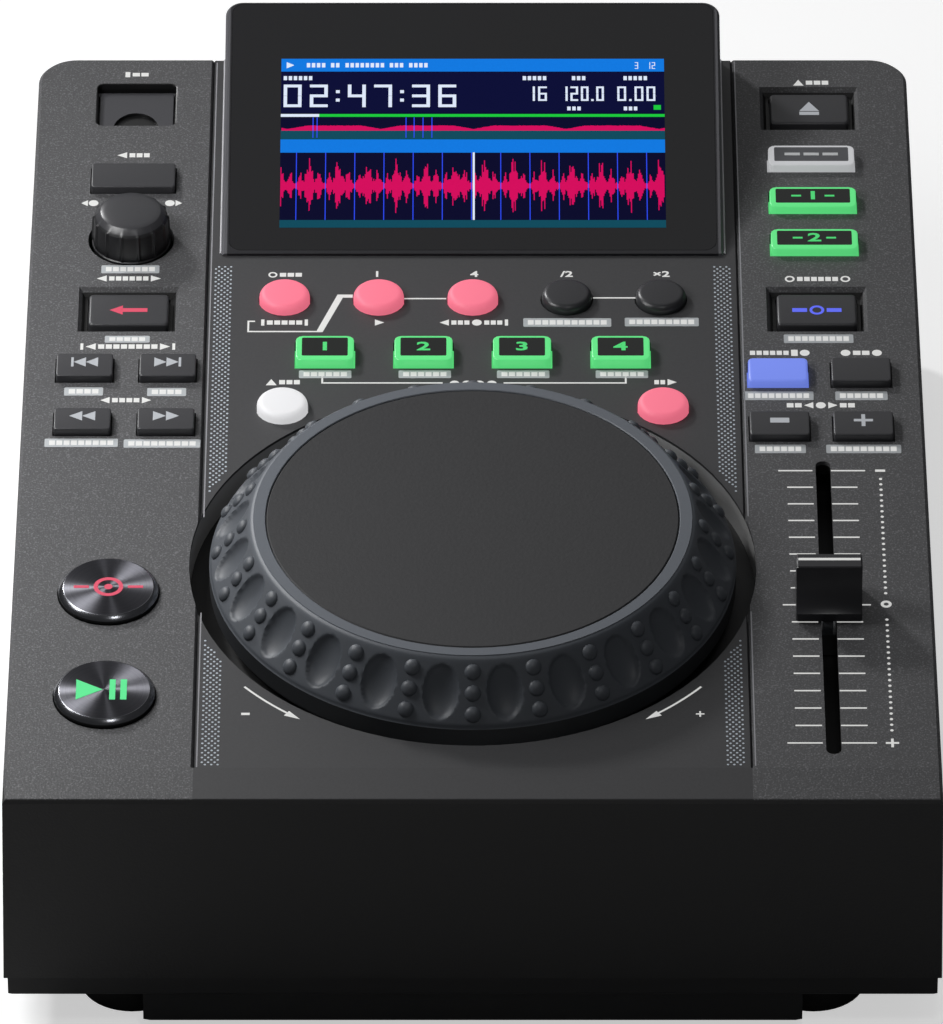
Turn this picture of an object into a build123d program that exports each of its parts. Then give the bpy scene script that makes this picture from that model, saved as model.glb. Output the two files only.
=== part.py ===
from build123d import *
import os
from math import atan2, cos, degrees, hypot, radians, sin, tan, tau

# Tabletop DJ media player: a wedge-shaped plastic case with a sloping control panel,
# a tilted display hood at the back, a large jog wheel at the front, a tempo fader on
# the right and twenty-eight push keys. Millimetres; +X right, +Y back, +Z up; the
# origin is on the table, at the centre of the whole player's footprint.

# --- Driving dimensions: case ---------------------------------------------------------
CASE_W = 217.5           # width across the panel
CASE_DEPTH = 298.0       # front face to the tips of the rear jacks
JACK_REACH = 8.5         # line-out jacks beyond the rear wall
PANEL_TILT = 3.5         # slope of the control panel, degrees
PANEL_Z = 68.0           # height at which the panel plane meets the front face
BEVEL_LEN = 10.8         # front strip of the panel, which falls away a little more
BEVEL_DROP = 1.0
DRAFT = 0.9              # mould draft of the case walls, degrees
WALL = 2.6
PANEL_T = 3.0
REAR_CORNER_R = 10.5
FRONT_CORNER = 1.6       # bevels at the front corners and round the panel's edge
EDGE = 0.8
INNER_CORNER = 5.2       # bevels inside the rear corners
SHELL_Z = 16.3           # lower rim of the top shell
COVER_Z = 10.3           # underside of the bottom cover
COVER_INSET = 0.9
PAN_Z = 1.3              # underside of the sunk pan in the bottom cover
PAN_W = 154.4
FOOT_R = 12.5
FOOT_X = 80.0
FOOT_SETBACK = 21.0

# --- Driving dimensions: panel layout, across (u) and up the slope from the front (f) -
GROOVE_U = 64.8          # grooves that part the centre strip from the side panels
GROOVE_W = 1.2
STRIP_SINK = 0.4
COLUMN_U = 83.85         # centre line of each outer column of controls
PAIR_U = 10.05           # half the pitch of two keys side by side in a column
KEY_RISE = 2.0
KEY_GAP = 0.3            # key to panel, all round
KEY_TRAVEL = 0.8
ROUND_R = 6.15
ROUND_SIDES = 24         # small round buttons and their holes
LOOP_PITCH = 22.95
HOT_CUE_PITCH = 23.9
RECESS_W, RECESS_D, RECESS_DEEP = 24.5, 18.0, 2.1
BOARD_TOP = -11.0        # key boards, below the panel surface
BOARD_T = 1.6

JOG_F = 86.5
JOG_WELL_R = 67.2
JOG_RIM_R = 62.4
JOG_TOP_R = 52.15
JOG_DISC_R = 48.75
JOG_TOP = 14.2
JOG_SKIRT = 0.9
JOG_WALL = 2.2
HIDDEN_SIDES = 24        # round forms that no view reaches
DIMPLES = 24
DIMPLE_W, DIMPLE_L, DIMPLE_DEEP, DIMPLE_SIDES = 7.8, 12.4, 1.0, 10
DOME_R, DOME_PITCH, DOME_SIDES = 1.5, 5.2, 5

FADER_F = 70.8
FADER_SLOT_W, FADER_SLOT_L = 3.6, 110.0

KNOB_F = 213.9
KNOB_R, KNOB_TOP_R, KNOB_TOP = 9.9, 8.8, 9.5

USB_F = 269.8
HOOD_F = 206.6           # where the display face would meet the panel
HOOD_TILT = 14.1         # display face against the panel, degrees
HOOD_FACE = 82.0
HOOD_W = 123.0
HOOD_CORNER_R = 4.3
WINDOW_W = 119.6
LCD_W, LCD_H, LCD_LOW = 95.0, 53.9, 9.4

# --- Planes that follow from them ------------------------------------------------------
tilt = radians(PANEL_TILT)
FRONT_FOOT_Y = -CASE_DEPTH / 2
FRONT_Y = FRONT_FOOT_Y + (PANEL_Z - SHELL_Z) * tan(radians(DRAFT))
BACK_FOOT_Y = CASE_DEPTH / 2 - JACK_REACH + 1.2
CASE_FOOT_W = CASE_W + 2 * (PANEL_Z - SHELL_Z) * tan(radians(DRAFT))
REAR_Y = CASE_DEPTH / 2 - JACK_REACH    # flat floor of the connector recess
REAR_Z = 42.0
PANEL_LEN = 289.4

panel = Plane((0, FRONT_Y, PANEL_Z), x_dir=(1, 0, 0), z_dir=(0, -sin(tilt), cos(tilt)))
panel_normal = Axis(panel.origin, panel.z_dir)
bevel_tilt = tilt + atan2(BEVEL_DROP, BEVEL_LEN)
bevel = Plane(
    panel.from_local_coords((0, BEVEL_LEN, 0)),
    x_dir=(1, 0, 0),
    z_dir=(0, -sin(bevel_tilt), cos(bevel_tilt)),
)
face_tilt = tilt + radians(HOOD_TILT)
face = Plane(
    panel.from_local_coords((0, HOOD_F, 0)),
    x_dir=(1, 0, 0),
    z_dir=(0, -sin(face_tilt), cos(face_tilt)),
)
# Seen from behind: x to the left of the player, y up, z out of the rear wall.
rear = Plane((0, REAR_Y, REAR_Z), x_dir=(-1, 0, 0), z_dir=(0, 1, 0))
# Side view at a panel column: x up the slope, y out of the panel, z to the left.
side = Plane(panel.origin, x_dir=panel.y_dir, z_dir=(1, 0, 0))

# --- Key layout ------------------------------------------------------------------------
LOOP_F, HOT_CUE_F, SHIFT_F = 190.1, 167.8, 147.0
MODE_F = 185.8           # direction key on the left, jog mode key on the right
flat_keys = {
    "back_key": (-COLUMN_U, 237.9, 20.7, 9.9),
    "track_back_key": (-COLUMN_U - PAIR_U, 161.2, 13.7, 8.9),
    "track_next_key": (-COLUMN_U + PAIR_U, 161.2, 13.7, 8.9),
    "search_back_key": (-COLUMN_U - PAIR_U, 140.0, 13.7, 8.4),
    "search_next_key": (-COLUMN_U + PAIR_U, 140.0, 13.7, 8.4),
    "key_lock_key": (COLUMN_U - PAIR_U, 159.4, 14.4, 9.3),
    "tempo_tap_key": (COLUMN_U + PAIR_U, 159.4, 14.4, 9.3),
    "pitch_minus_key": (COLUMN_U - PAIR_U, 138.3, 14.4, 9.3),
    "pitch_plus_key": (COLUMN_U + PAIR_U, 138.3, 14.4, 9.3),
}
window_keys = {
    "settings_key": (COLUMN_U, 246.0, 21.3, 8.3),
    "usb_source_key": (COLUMN_U, 228.8, 21.3, 8.3),
    "controller_key": (COLUMN_U, 211.6, 21.3, 8.3),
}
for number in range(4):
    across = (number - 1.5) * HOT_CUE_PITCH
    window_keys[f"hot_cue_{number + 1}_key"] = (across, HOT_CUE_F, 14.1, 9.7)
sunk_keys = {
    "direction_key": (-COLUMN_U, MODE_F, 19.5, 12.3),
    "jog_mode_key": (COLUMN_U, MODE_F, 19.5, 12.3),
    "eject_key": (COLUMN_U, 268.2, 19.5, 12.3),
}
round_keys = {
    "shift_button": (-2 * LOOP_PITCH, SHIFT_F, ROUND_R),
    "slip_button": (2 * LOOP_PITCH, SHIFT_F, ROUND_R),
    "cue_button": (-86.0, 75.3, 11.85),
    "play_button": (-86.0, 37.0, 11.85),
}
for place, name in enumerate(("auto", "in", "out", "half", "double")):
    round_keys[f"loop_{name}_button"] = ((place - 2) * LOOP_PITCH, LOOP_F, ROUND_R)
square_keys = flat_keys | window_keys | sunk_keys

# Below the panel a flange holds each key in, and its stem meets a switch.
FLANGE_TOP = -PANEL_T - 0.1
FLANGE_T = 1.2
FLANGE_LIP = 0.85
STEM_END = -5.6
SWITCH_END = STEM_END - KEY_TRAVEL - 0.1

os.makedirs("parts", exist_ok=True)


def save(solid, name):
    """Label a finished sub-part and write it as its own file."""
    solid.label = name
    export_step(solid, f"parts/{name}.step")


def case_plan(height, inset):
    """Footprint of the case at a height, drawn in by an inset."""
    with BuildSketch(Plane.XY.offset(height)) as plan:
        with Locations((0, (FRONT_FOOT_Y + BACK_FOOT_Y) / 2)):
            Rectangle(CASE_FOOT_W - 2 * inset, BACK_FOOT_Y - FRONT_FOOT_Y - 2 * inset)
        front_corners, rear_corners = plan.vertices().group_by(Axis.Y)
        if inset < FRONT_CORNER:
            fillet(rear_corners, REAR_CORNER_R - inset)
            chamfer(front_corners, FRONT_CORNER)
        else:
            chamfer(rear_corners, INNER_CORNER)
    return plan.sketch


def round_outline(radius, gap):
    """A round button's outline grown by a gap: a true circle for the large buttons."""
    if radius > ROUND_R:
        return Circle(radius + gap)
    return RegularPolygon(radius + gap, ROUND_SIDES)


def case_block(wall, roof):
    """The case's outer form drawn in by a wall and lowered by a roof, cut flat below."""
    with BuildPart() as block:
        extrude(case_plan(SHELL_Z, wall), amount=90, taper=DRAFT)
        split(bisect_by=panel.offset(-roof), keep=Keep.BOTTOM)
        split(bisect_by=bevel.offset(-roof), keep=Keep.BOTTOM)
    return block.part


# --- Top shell: panel, walls, recesses, key holes and the ribs that carry the boards ---
CONNECTOR_W, CONNECTOR_H = 190.0, 34.0
BAY_W, BAY_D, BAY_WALL, BAY_END = 16.6, 12.6, 1.6, -12.0
DOOR_W, DOOR_D, DOOR_T, DOOR_TOP = 18.7, 16.6, 1.6, -1.9
HINGE_F = USB_F + DOOR_D / 2 - 1.2
HINGE_N = DOOR_TOP - DOOR_T / 2
HINGE_R = 0.8
COLLAR_T = 1.0
COLLAR_END = -9.0
RIB_W, RIB_D = 2.0, 6.0
rib_places = [(-102.5, f) for f in (32, 56, 104, 150, 172, 222, 250)]
rib_places += [(-71, f) for f in (150, 172, 222, 250)]
rib_places += [(102.5, 150), (102.5, 172), (97.5, 222), (97.5, 250)]
rib_places += [(68, f) for f in (150, 172, 222, 250)]
# Rear sockets, placed as seen from behind: their centres across the wall.
INLET_X, SWITCH_X, USB_B_X, LINE_X, LINE_PITCH = -74.0, -40.0, 22.0, 66.0, 17.0
INLET_W, INLET_H = 27.0, 19.6
SWITCH_W, SWITCH_H = 12.8, 19.0
USB_B_W, USB_B_H = 12.0, 10.8
LINE_COLLAR_W = 10.0
CUT_OUT_GAP = 0.25

with BuildPart() as top_shell:
    add(case_block(0, 0))
    # The panel falls to its walls, but not to the front strip, over a bevelled edge.
    roof_faces = top_shell.faces().filter_by(lambda f: f.normal_at().Z > 0.9)
    rim = roof_faces.edges().filter_by(
        lambda edge: abs(panel.to_local_coords(edge.center()).Y - BEVEL_LEN) > 1
        or abs(edge.center().X) > 1
    )
    chamfer(rim, EDGE)
    add(case_block(WALL, PANEL_T), mode=Mode.SUBTRACT)

    # Collars hanging from the panel: round the jog well and round the memory-stick bay.
    with BuildSketch(panel.offset(COLLAR_END)):
        with Locations((0, JOG_F)):
            RegularPolygon(JOG_WELL_R + COLLAR_T, HIDDEN_SIDES, major_radius=False)
    extrude(amount=-COLLAR_END - PANEL_T + 0.5)
    with BuildSketch(panel.offset(BAY_END)):
        with Locations((-COLUMN_U, USB_F)):
            Rectangle(DOOR_W + 2 * BAY_WALL + 0.6, DOOR_D + 2 * BAY_WALL + 0.6)
    extrude(amount=-BAY_END - PANEL_T + 0.5)

    # The centre strip lies a little lower than the side panels, parted by V grooves.
    with BuildSketch(panel.offset(-STRIP_SINK)):
        with Locations((0, BEVEL_LEN)):
            Rectangle(2 * GROOVE_U, PANEL_LEN + 10, align=(Align.CENTER, Align.MIN))
    extrude(amount=5, mode=Mode.SUBTRACT)
    with BuildSketch(Plane(bevel.origin, x_dir=(1, 0, 0), z_dir=-panel.y_dir)):
        with Locations((-GROOVE_U, 0), (GROOVE_U, 0)):
            Polygon(
                (-GROOVE_W / 2, 0), (GROOVE_W / 2, 0), (0, -GROOVE_W), align=None
            )
    extrude(amount=-PANEL_LEN - 10, mode=Mode.SUBTRACT)

    # Jog well, knob hole and fader slot.
    with BuildSketch(panel.offset(COLLAR_END)):
        with Locations((0, JOG_F)):
            Circle(JOG_WELL_R)
        with Locations((-COLUMN_U, KNOB_F)):
            Circle(KNOB_R + 0.7)
        with Locations((COLUMN_U, FADER_F)):
            SlotOverall(FADER_SLOT_L, FADER_SLOT_W, rotation=90)
    extrude(amount=20, mode=Mode.SUBTRACT)

    # Display opening under the hood.
    with BuildSketch(panel.offset(-PANEL_T - 1)):
        with Locations((0, HOOD_F + 3.4)):
            Rectangle(HOOD_W - 6, 74.6, align=(Align.CENTER, Align.MIN))
    extrude(amount=10, mode=Mode.SUBTRACT)

    # Recesses with sloping walls round the three sunk keys, then every key hole.
    recess_taper = -degrees(atan2(RECESS_D - 14.9, 2 * RECESS_DEEP))
    with BuildSketch(panel.offset(-RECESS_DEEP)):
        with Locations(*[(u, f) for u, f, w, d in sunk_keys.values()]):
            Rectangle(RECESS_W - RECESS_D + 14.9, 14.9)
    extrude(amount=RECESS_DEEP + 0.01, taper=recess_taper, mode=Mode.SUBTRACT)
    with BuildSketch(panel.offset(-PANEL_T - 1)):
        for u, f, w, d in square_keys.values():
            with Locations((u, f)):
                Rectangle(w + 2 * KEY_GAP, d + 2 * KEY_GAP)
        for u, f, r in round_keys.values():
            with Locations((u, f)):
                round_outline(r, KEY_GAP)
    extrude(amount=10, mode=Mode.SUBTRACT)

    # Memory-stick bay: flap recess with a chamfered edge, ledge, pocket, hinge sockets.
    with BuildSketch(panel.offset(DOOR_TOP - DOOR_T - 0.1)):
        with Locations((-COLUMN_U, USB_F)):
            Rectangle(DOOR_W + 0.6, DOOR_D + 0.6)
    extrude(amount=10, mode=Mode.SUBTRACT)
    with BuildSketch(panel.offset(-1.0)):
        with Locations((-COLUMN_U, USB_F)):
            Rectangle(DOOR_W + 0.6, DOOR_D + 0.6)
    extrude(amount=1.01, taper=-45, mode=Mode.SUBTRACT)
    with BuildSketch(panel.offset(BAY_END - 1)):
        with Locations((-COLUMN_U, USB_F - 1.2)):
            Rectangle(BAY_W, BAY_D)
    extrude(amount=20, mode=Mode.SUBTRACT)
    with BuildSketch(side.offset(-COLUMN_U)):
        with Locations((HINGE_F, HINGE_N)):
            Rectangle(2 * HINGE_R + 0.7, 2 * HINGE_R + 0.7)
    extrude(amount=DOOR_W / 2 + 0.3, both=True, mode=Mode.SUBTRACT)
    with BuildSketch(side.offset(-COLUMN_U)):
        with Locations((HINGE_F, HINGE_N)):
            Circle(HINGE_R + 0.05)
    extrude(amount=DOOR_W / 2 + 1.3, both=True, mode=Mode.SUBTRACT)

    # Connector recess in the rear wall and the cut-outs in its floor.
    with BuildSketch(rear):
        Rectangle(CONNECTOR_W, CONNECTOR_H)
    extrude(amount=10, mode=Mode.SUBTRACT)
    with BuildSketch(rear.offset(1)):
        with Locations((INLET_X, 0)):
            Rectangle(INLET_W + 2 * CUT_OUT_GAP, INLET_H + 2 * CUT_OUT_GAP)
        with Locations((SWITCH_X, 0)):
            Rectangle(SWITCH_W + 2 * CUT_OUT_GAP, SWITCH_H + 2 * CUT_OUT_GAP)
        with Locations((USB_B_X, 0)):
            Rectangle(USB_B_W + 2 * CUT_OUT_GAP, USB_B_H + 2 * CUT_OUT_GAP)
        with Locations((LINE_X - LINE_PITCH / 2, 0), (LINE_X + LINE_PITCH / 2, 0)):
            Rectangle(LINE_COLLAR_W + 2 * CUT_OUT_GAP, LINE_COLLAR_W + 2 * CUT_OUT_GAP)
    extrude(amount=-8, mode=Mode.SUBTRACT)

    # Ribs that stand on the panel's underside and carry the three key boards.
    with BuildSketch(panel.offset(BOARD_TOP)):
        with Locations(*rib_places):
            Rectangle(RIB_W, RIB_D)
        with Locations((-24, 178), (24, 178), (-55, 199), (55, 199), (0, 199)):
            Rectangle(RIB_D, RIB_W)
    extrude(amount=-BOARD_TOP - PANEL_T)
save(top_shell.part, "top_shell")

# --- Bottom cover: a tray under the whole case with a sunk pan between the feet ---------
FLOOR_T = 2.0
PAN_SETBACK = 2.0
PAN_REAR_SETBACK = 8.0
POST_W = 5.0
MAIN_BOARD_TOP = REAR_Z - USB_B_H / 2
SUPPLY_TOP = 21.6
foot_places = [
    (side_sign * FOOT_X, foot_y)
    for side_sign in (-1, 1)
    for foot_y in (FRONT_FOOT_Y + FOOT_SETBACK, BACK_FOOT_Y - FOOT_SETBACK)
]
main_posts = [(x, y) for x in (-62, -12) for y in (30, 122)]
supply_posts = [(x, y) for x in (26, 70) for y in (36, 98)]
pan_front = FRONT_FOOT_Y + PAN_SETBACK
pan_length = BACK_FOOT_Y - PAN_REAR_SETBACK - pan_front


def pan_plan(height, inset):
    """Outline of the sunk pan, notched at the feet, drawn in by an inset."""
    with BuildSketch(Plane.XY.offset(height)) as plan:
        with Locations((0, pan_front + pan_length / 2)):
            Rectangle(PAN_W - 2 * inset, pan_length - 2 * inset)
        with Locations(*foot_places):
            notch = 2 * (FOOT_R + 2 + inset)
            Rectangle(notch, notch, mode=Mode.SUBTRACT)
    return plan.sketch


with BuildPart() as bottom_cover:
    extrude(case_plan(COVER_Z, COVER_INSET), amount=SHELL_Z - COVER_Z)
    chamfer(bottom_cover.faces().sort_by(Axis.Z)[0].edges(), 0.9)
    extrude(pan_plan(COVER_Z, 0), amount=PAN_Z - COVER_Z)
    chamfer(bottom_cover.faces().sort_by(Axis.Z)[0].edges(), 1.5)
    extrude(case_plan(COVER_Z + FLOOR_T, COVER_INSET + FLOOR_T), amount=10, mode=Mode.SUBTRACT)
    extrude(pan_plan(PAN_Z + FLOOR_T, FLOOR_T), amount=COVER_Z, mode=Mode.SUBTRACT)
    with BuildSketch(Plane.XY.offset(PAN_Z + FLOOR_T)):
        with Locations(*main_posts):
            Rectangle(POST_W, POST_W)
    extrude(amount=MAIN_BOARD_TOP - BOARD_T - PAN_Z - FLOOR_T)
    with BuildSketch(Plane.XY.offset(PAN_Z + FLOOR_T)):
        with Locations(*supply_posts):
            Rectangle(POST_W, POST_W)
    extrude(amount=SUPPLY_TOP - BOARD_T - PAN_Z - FLOOR_T)
save(bottom_cover.part, "bottom_cover")

# --- Feet --------------------------------------------------------------------------------
with BuildPart() as rubber_feet:
    with BuildSketch(Plane.XY):
        with Locations(*foot_places):
            Circle(FOOT_R)
    extrude(amount=COVER_Z)
save(rubber_feet.part, "rubber_feet")

# --- Display: hood, window and screen module --------------------------------------------
HOOD_BACK_Y = BACK_FOOT_Y - 2.2
HOOD_LIP_F = HOOD_F + 1.2
HOOD_WALL, HOOD_SKIN = 2.4, 2.2
WINDOW_T, WINDOW_LOW, WINDOW_TOP = 0.8, 2.4, 81.0
hood_back = Plane((0, HOOD_BACK_Y, 0), x_dir=(1, 0, 0), z_dir=(0, 1, 0))
hood_front = Plane(
    panel.from_local_coords((0, HOOD_LIP_F, 0)), x_dir=(1, 0, 0), z_dir=panel.y_dir
)
lcd_middle = LCD_LOW + LCD_H / 2


def face_outline(plane, width, low, high, top_r):
    """An outline in the display face, square at the foot and rounded at the top."""
    with BuildSketch(plane) as outline:
        with Locations((0, (low + high) / 2)):
            Rectangle(width, high - low)
        fillet(outline.vertices().group_by(Axis.Z)[-1], top_r)
    return outline.sketch


with BuildPart() as hood_hollow:
    inner_face = face_outline(
        face.offset(-HOOD_SKIN), HOOD_W - 2 * HOOD_WALL, 3.4, HOOD_FACE - HOOD_WALL, 2.0
    )
    extrude(inner_face, amount=-40)
    split(bisect_by=hood_back.offset(-HOOD_WALL), keep=Keep.BOTTOM)

with BuildPart() as display_hood:
    extrude(face_outline(face, HOOD_W, -6, HOOD_FACE, HOOD_CORNER_R), amount=-34, taper=-1.0)
    split(bisect_by=panel.offset(-STRIP_SINK), keep=Keep.TOP)
    split(bisect_by=hood_back, keep=Keep.BOTTOM)
    split(bisect_by=hood_front, keep=Keep.TOP)
    front_face = display_hood.faces().sort_by(Axis(face.origin, face.z_dir))[-1]
    chamfer(front_face.edges().sort_by(Axis.Z)[1:], 0.6)
    add(hood_hollow.part, mode=Mode.SUBTRACT)
    pocket = face_outline(
        face.offset(-WINDOW_T), WINDOW_W + 0.2, WINDOW_LOW - 0.1, WINDOW_TOP + 0.1, 3.0
    )
    extrude(pocket, amount=5, mode=Mode.SUBTRACT)
    with BuildSketch(face.offset(-5)):
        with Locations((0, lcd_middle)):
            Rectangle(LCD_W + 2, LCD_H + 2)
    extrude(amount=8, mode=Mode.SUBTRACT)
save(display_hood.part, "display_hood")

with BuildPart() as display_window:
    pane = face_outline(face.offset(-WINDOW_T), WINDOW_W, WINDOW_LOW, WINDOW_TOP, 2.9)
    extrude(pane, amount=WINDOW_T)
save(display_window.part, "display_window")

with BuildPart() as display_module:
    with BuildSketch(face.offset(-HOOD_SKIN)):
        with Locations((0, lcd_middle)):
            Rectangle(LCD_W + 10, LCD_H + 8)
    extrude(amount=-5)
    with BuildSketch(face.offset(-HOOD_SKIN)):
        with Locations((0, lcd_middle)):
            Rectangle(LCD_W, LCD_H)
    extrude(amount=HOOD_SKIN - WINDOW_T - 0.1)
save(display_module.part, "display_module")


# --- Keys --------------------------------------------------------------------------------
def square_key(u, f, width, depth, top, windowed):
    """A keycap with a bevelled top, its retaining flange and its stem."""
    with BuildPart() as key:
        with BuildSketch(panel.offset(FLANGE_TOP)):
            with Locations((u, f)):
                Rectangle(width, depth)
        extrude(amount=top - FLANGE_TOP)
        chamfer(key.edges().filter_by(panel_normal), 0.7)
        crown = key.faces().sort_by(panel_normal)[-1]
        chamfer(crown.edges(), 0.4)
        lip = KEY_GAP + FLANGE_LIP
        with BuildSketch(panel.offset(FLANGE_TOP)):
            with Locations((u, f)):
                Rectangle(width + 2 * lip, depth + 2 * lip)
        extrude(amount=-FLANGE_T)
        with BuildSketch(panel.offset(FLANGE_TOP - FLANGE_T)):
            with Locations((u, f)):
                Rectangle(3, 3)
        extrude(amount=STEM_END - FLANGE_TOP + FLANGE_T)
        if windowed:
            with BuildSketch(panel.offset(top - 0.25)):
                with Locations((u, f + 0.3)):
                    Rectangle(width - 2.9, depth - 3.0)
            extrude(amount=1, mode=Mode.SUBTRACT)
    return key.part


def round_key(u, f, radius):
    """A round button on an eight-sided retaining flange, the large ones bevelled."""
    with BuildPart() as key:
        with BuildSketch(panel.offset(FLANGE_TOP)):
            with Locations((u, f)):
                round_outline(radius, 0)
        extrude(amount=KEY_RISE - FLANGE_TOP)
        if radius > ROUND_R:
            chamfer(key.faces().sort_by(panel_normal)[-1].edges(), 0.9)
        with BuildSketch(panel.offset(FLANGE_TOP)):
            with Locations((u, f)):
                RegularPolygon(radius + KEY_GAP + FLANGE_LIP, 8)
        extrude(amount=-FLANGE_T)
        with BuildSketch(panel.offset(FLANGE_TOP - FLANGE_T)):
            with Locations((u, f)):
                Rectangle(3, 3)
        extrude(amount=STEM_END - FLANGE_TOP + FLANGE_T)
    return key.part


for name, (u, f, width, depth) in square_keys.items():
    top = 0.0 if name in sunk_keys else KEY_RISE
    save(square_key(u, f, width, depth, top, name in window_keys), name)
for name, (u, f, radius) in round_keys.items():
    save(round_key(u, f, radius), name)

# --- Key boards and the switches soldered to them -----------------------------------------
SWITCH_BODY = 5.0
key_centres = [place[:2] for place in (square_keys | round_keys).values()]
with BuildPart() as key_boards:
    with BuildSketch(panel.offset(BOARD_TOP)):
        with Locations((-87, 140.5)):
            Rectangle(34, 227)
        with Locations((82.3, 199.5)):
            Rectangle(32.6, 133)
        with Locations((101, 155.5)):
            Rectangle(6, 45)
        with Locations((80.8, 274)):
            Rectangle(29.6, 16)
        with Locations((0, 171.5)):
            Rectangle(112, 61)
        with Locations((0, JOG_F)):
            Circle(JOG_WELL_R + 3.3, mode=Mode.SUBTRACT)
    extrude(amount=-BOARD_T)
save(key_boards.part, "key_boards")

with BuildPart() as key_switches:
    with BuildSketch(panel.offset(BOARD_TOP)):
        with Locations(*key_centres):
            Rectangle(SWITCH_BODY, SWITCH_BODY)
    extrude(amount=SWITCH_END - BOARD_TOP)
save(key_switches.part, "key_switches")

# --- Jog wheel: floor of the well, bush, spindle, wheel and touch disc ---------------------
SPINDLE_R, BUSH_R, BUSH_END = 4.0, 8.0, -19.0
CODE_DISC_R, CODE_DISC_N = 18.0, -21.4
HUB_END = -7.9
jog = Plane(
    panel.from_local_coords((0, JOG_F, 0)), x_dir=(1, 0, 0), z_dir=panel.z_dir
)
jog_section = Plane(jog.origin, x_dir=(1, 0, 0), z_dir=-panel.y_dir)
jog_axis = Axis(jog.origin, jog.z_dir)

with BuildPart() as jog_well:
    with BuildSketch(jog.offset(COLLAR_END)):
        RegularPolygon(JOG_WELL_R + COLLAR_T, HIDDEN_SIDES, major_radius=False)
    extrude(amount=-2)
    with BuildSketch(jog.offset(COLLAR_END - 2)):
        RegularPolygon(BUSH_R + 3, HIDDEN_SIDES // 3)
    extrude(amount=BUSH_END + 2 - COLLAR_END + 2)
    with BuildSketch(jog):
        Circle(BUSH_R + 0.05)
    extrude(amount=-40, mode=Mode.SUBTRACT)
save(jog_well.part, "jog_well")

with BuildPart() as jog_bush:
    with BuildSketch(jog.offset(BUSH_END)):
        Circle(BUSH_R)
        Circle(SPINDLE_R + 0.05, mode=Mode.SUBTRACT)
    extrude(amount=HUB_END - 0.2 - BUSH_END)
save(jog_bush.part, "jog_bush")

with BuildPart() as jog_spindle:
    with BuildSketch(jog_section):
        with BuildLine():
            Polyline(
                (0, 12.2), (SPINDLE_R, 12.2), (SPINDLE_R, CODE_DISC_N + 0.6),
                (CODE_DISC_R, CODE_DISC_N + 0.6), (CODE_DISC_R, CODE_DISC_N), (0, CODE_DISC_N),
                (0, 12.2),
            )
        make_face()
    revolve(axis=jog_axis)
save(jog_spindle.part, "jog_spindle")

with BuildPart() as jog_sensor:
    with BuildSketch(jog_section.offset(-4)):
        with Locations((20, COLLAR_END - 2)):
            Rectangle(12, 14, align=(Align.CENTER, Align.MAX))
        with Locations((13, CODE_DISC_N + 0.3)):
            Rectangle(10, 1.8, align=(Align.MIN, Align.CENTER), mode=Mode.SUBTRACT)
    extrude(amount=8)
save(jog_sensor.part, "jog_sensor")

skirt_run, skirt_drop = JOG_RIM_R - JOG_TOP_R, JOG_TOP - JOG_SKIRT
skirt_angle = atan2(skirt_run, skirt_drop)
inner_shift = JOG_WALL * cos(skirt_angle), JOG_WALL * sin(skirt_angle)
SEAT, WEB_UNDER = JOG_TOP - 1.9, 10.0
web_r = JOG_TOP_R - inner_shift[0] + (JOG_TOP - inner_shift[1] - WEB_UNDER) * tan(skirt_angle)
RIM_END = -5.8

step = 360 / DIMPLES
skirt_len = hypot(skirt_run, skirt_drop)


def skirt_plane(angle, down, out):
    """Plane on the skirt at an angle round the wheel, x across, z out of the surface."""
    turn = radians(angle)
    outward = jog.x_dir * sin(turn) - jog.y_dir * cos(turn)
    downhill = outward * sin(skirt_angle) - jog.z_dir * cos(skirt_angle)
    normal = outward * cos(skirt_angle) + jog.z_dir * sin(skirt_angle)
    start = jog.origin + outward * JOG_TOP_R + jog.z_dir * JOG_TOP
    return Plane(start + downhill * down + normal * out, downhill.cross(normal), normal)


with BuildPart() as jog_wheel:
    with BuildSketch(jog_section):
        with BuildLine():
            Polyline(
                (SPINDLE_R + 0.03, HUB_END), (8.5, HUB_END), (8.5, WEB_UNDER), (web_r, WEB_UNDER),
                (JOG_RIM_R - JOG_WALL, RIM_END), (JOG_RIM_R, RIM_END), (JOG_RIM_R, JOG_SKIRT),
                (JOG_TOP_R, JOG_TOP), (JOG_DISC_R + 0.15, JOG_TOP), (JOG_DISC_R + 0.15, SEAT),
                (SPINDLE_R + 0.03, SEAT), (SPINDLE_R + 0.03, HUB_END),
            )
        make_face()
    revolve(axis=jog_axis)

    # Oval finger dimples pressed into the skirt, evenly round the wheel.
    dimple_turns = [corner * tau / DIMPLE_SIDES for corner in range(DIMPLE_SIDES)]
    dimple_outline = [
        (DIMPLE_W / 2 * sin(turn), DIMPLE_L / 2 * cos(turn)) for turn in dimple_turns
    ]
    dimple_planes = [
        skirt_plane((number + 0.5) * step, skirt_len / 2 + 0.2, 0.2) for number in range(DIMPLES)
    ]
    with BuildSketch(*dimple_planes):
        Polygon(*dimple_outline, align=None)
    extrude(amount=-DIMPLE_DEEP - 0.2, taper=40, mode=Mode.SUBTRACT)

    # Between each two dimples a row of small domes runs down the skirt.
    dome_planes = [
        skirt_plane(number * step, skirt_len / 2 + row * DOME_PITCH + 0.3, -0.2)
        for number in range(DIMPLES)
        for row in (-1, 0, 1)
    ]
    with BuildSketch(*dome_planes):
        RegularPolygon(DOME_R, DOME_SIDES)
    extrude(amount=1.1, taper=35)
save(jog_wheel.part, "jog_wheel")

with BuildPart() as jog_disc:
    with BuildSketch(jog.offset(SEAT)):
        Circle(JOG_DISC_R)
    extrude(amount=JOG_TOP - SEAT)
save(jog_disc.part, "jog_disc")

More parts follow.
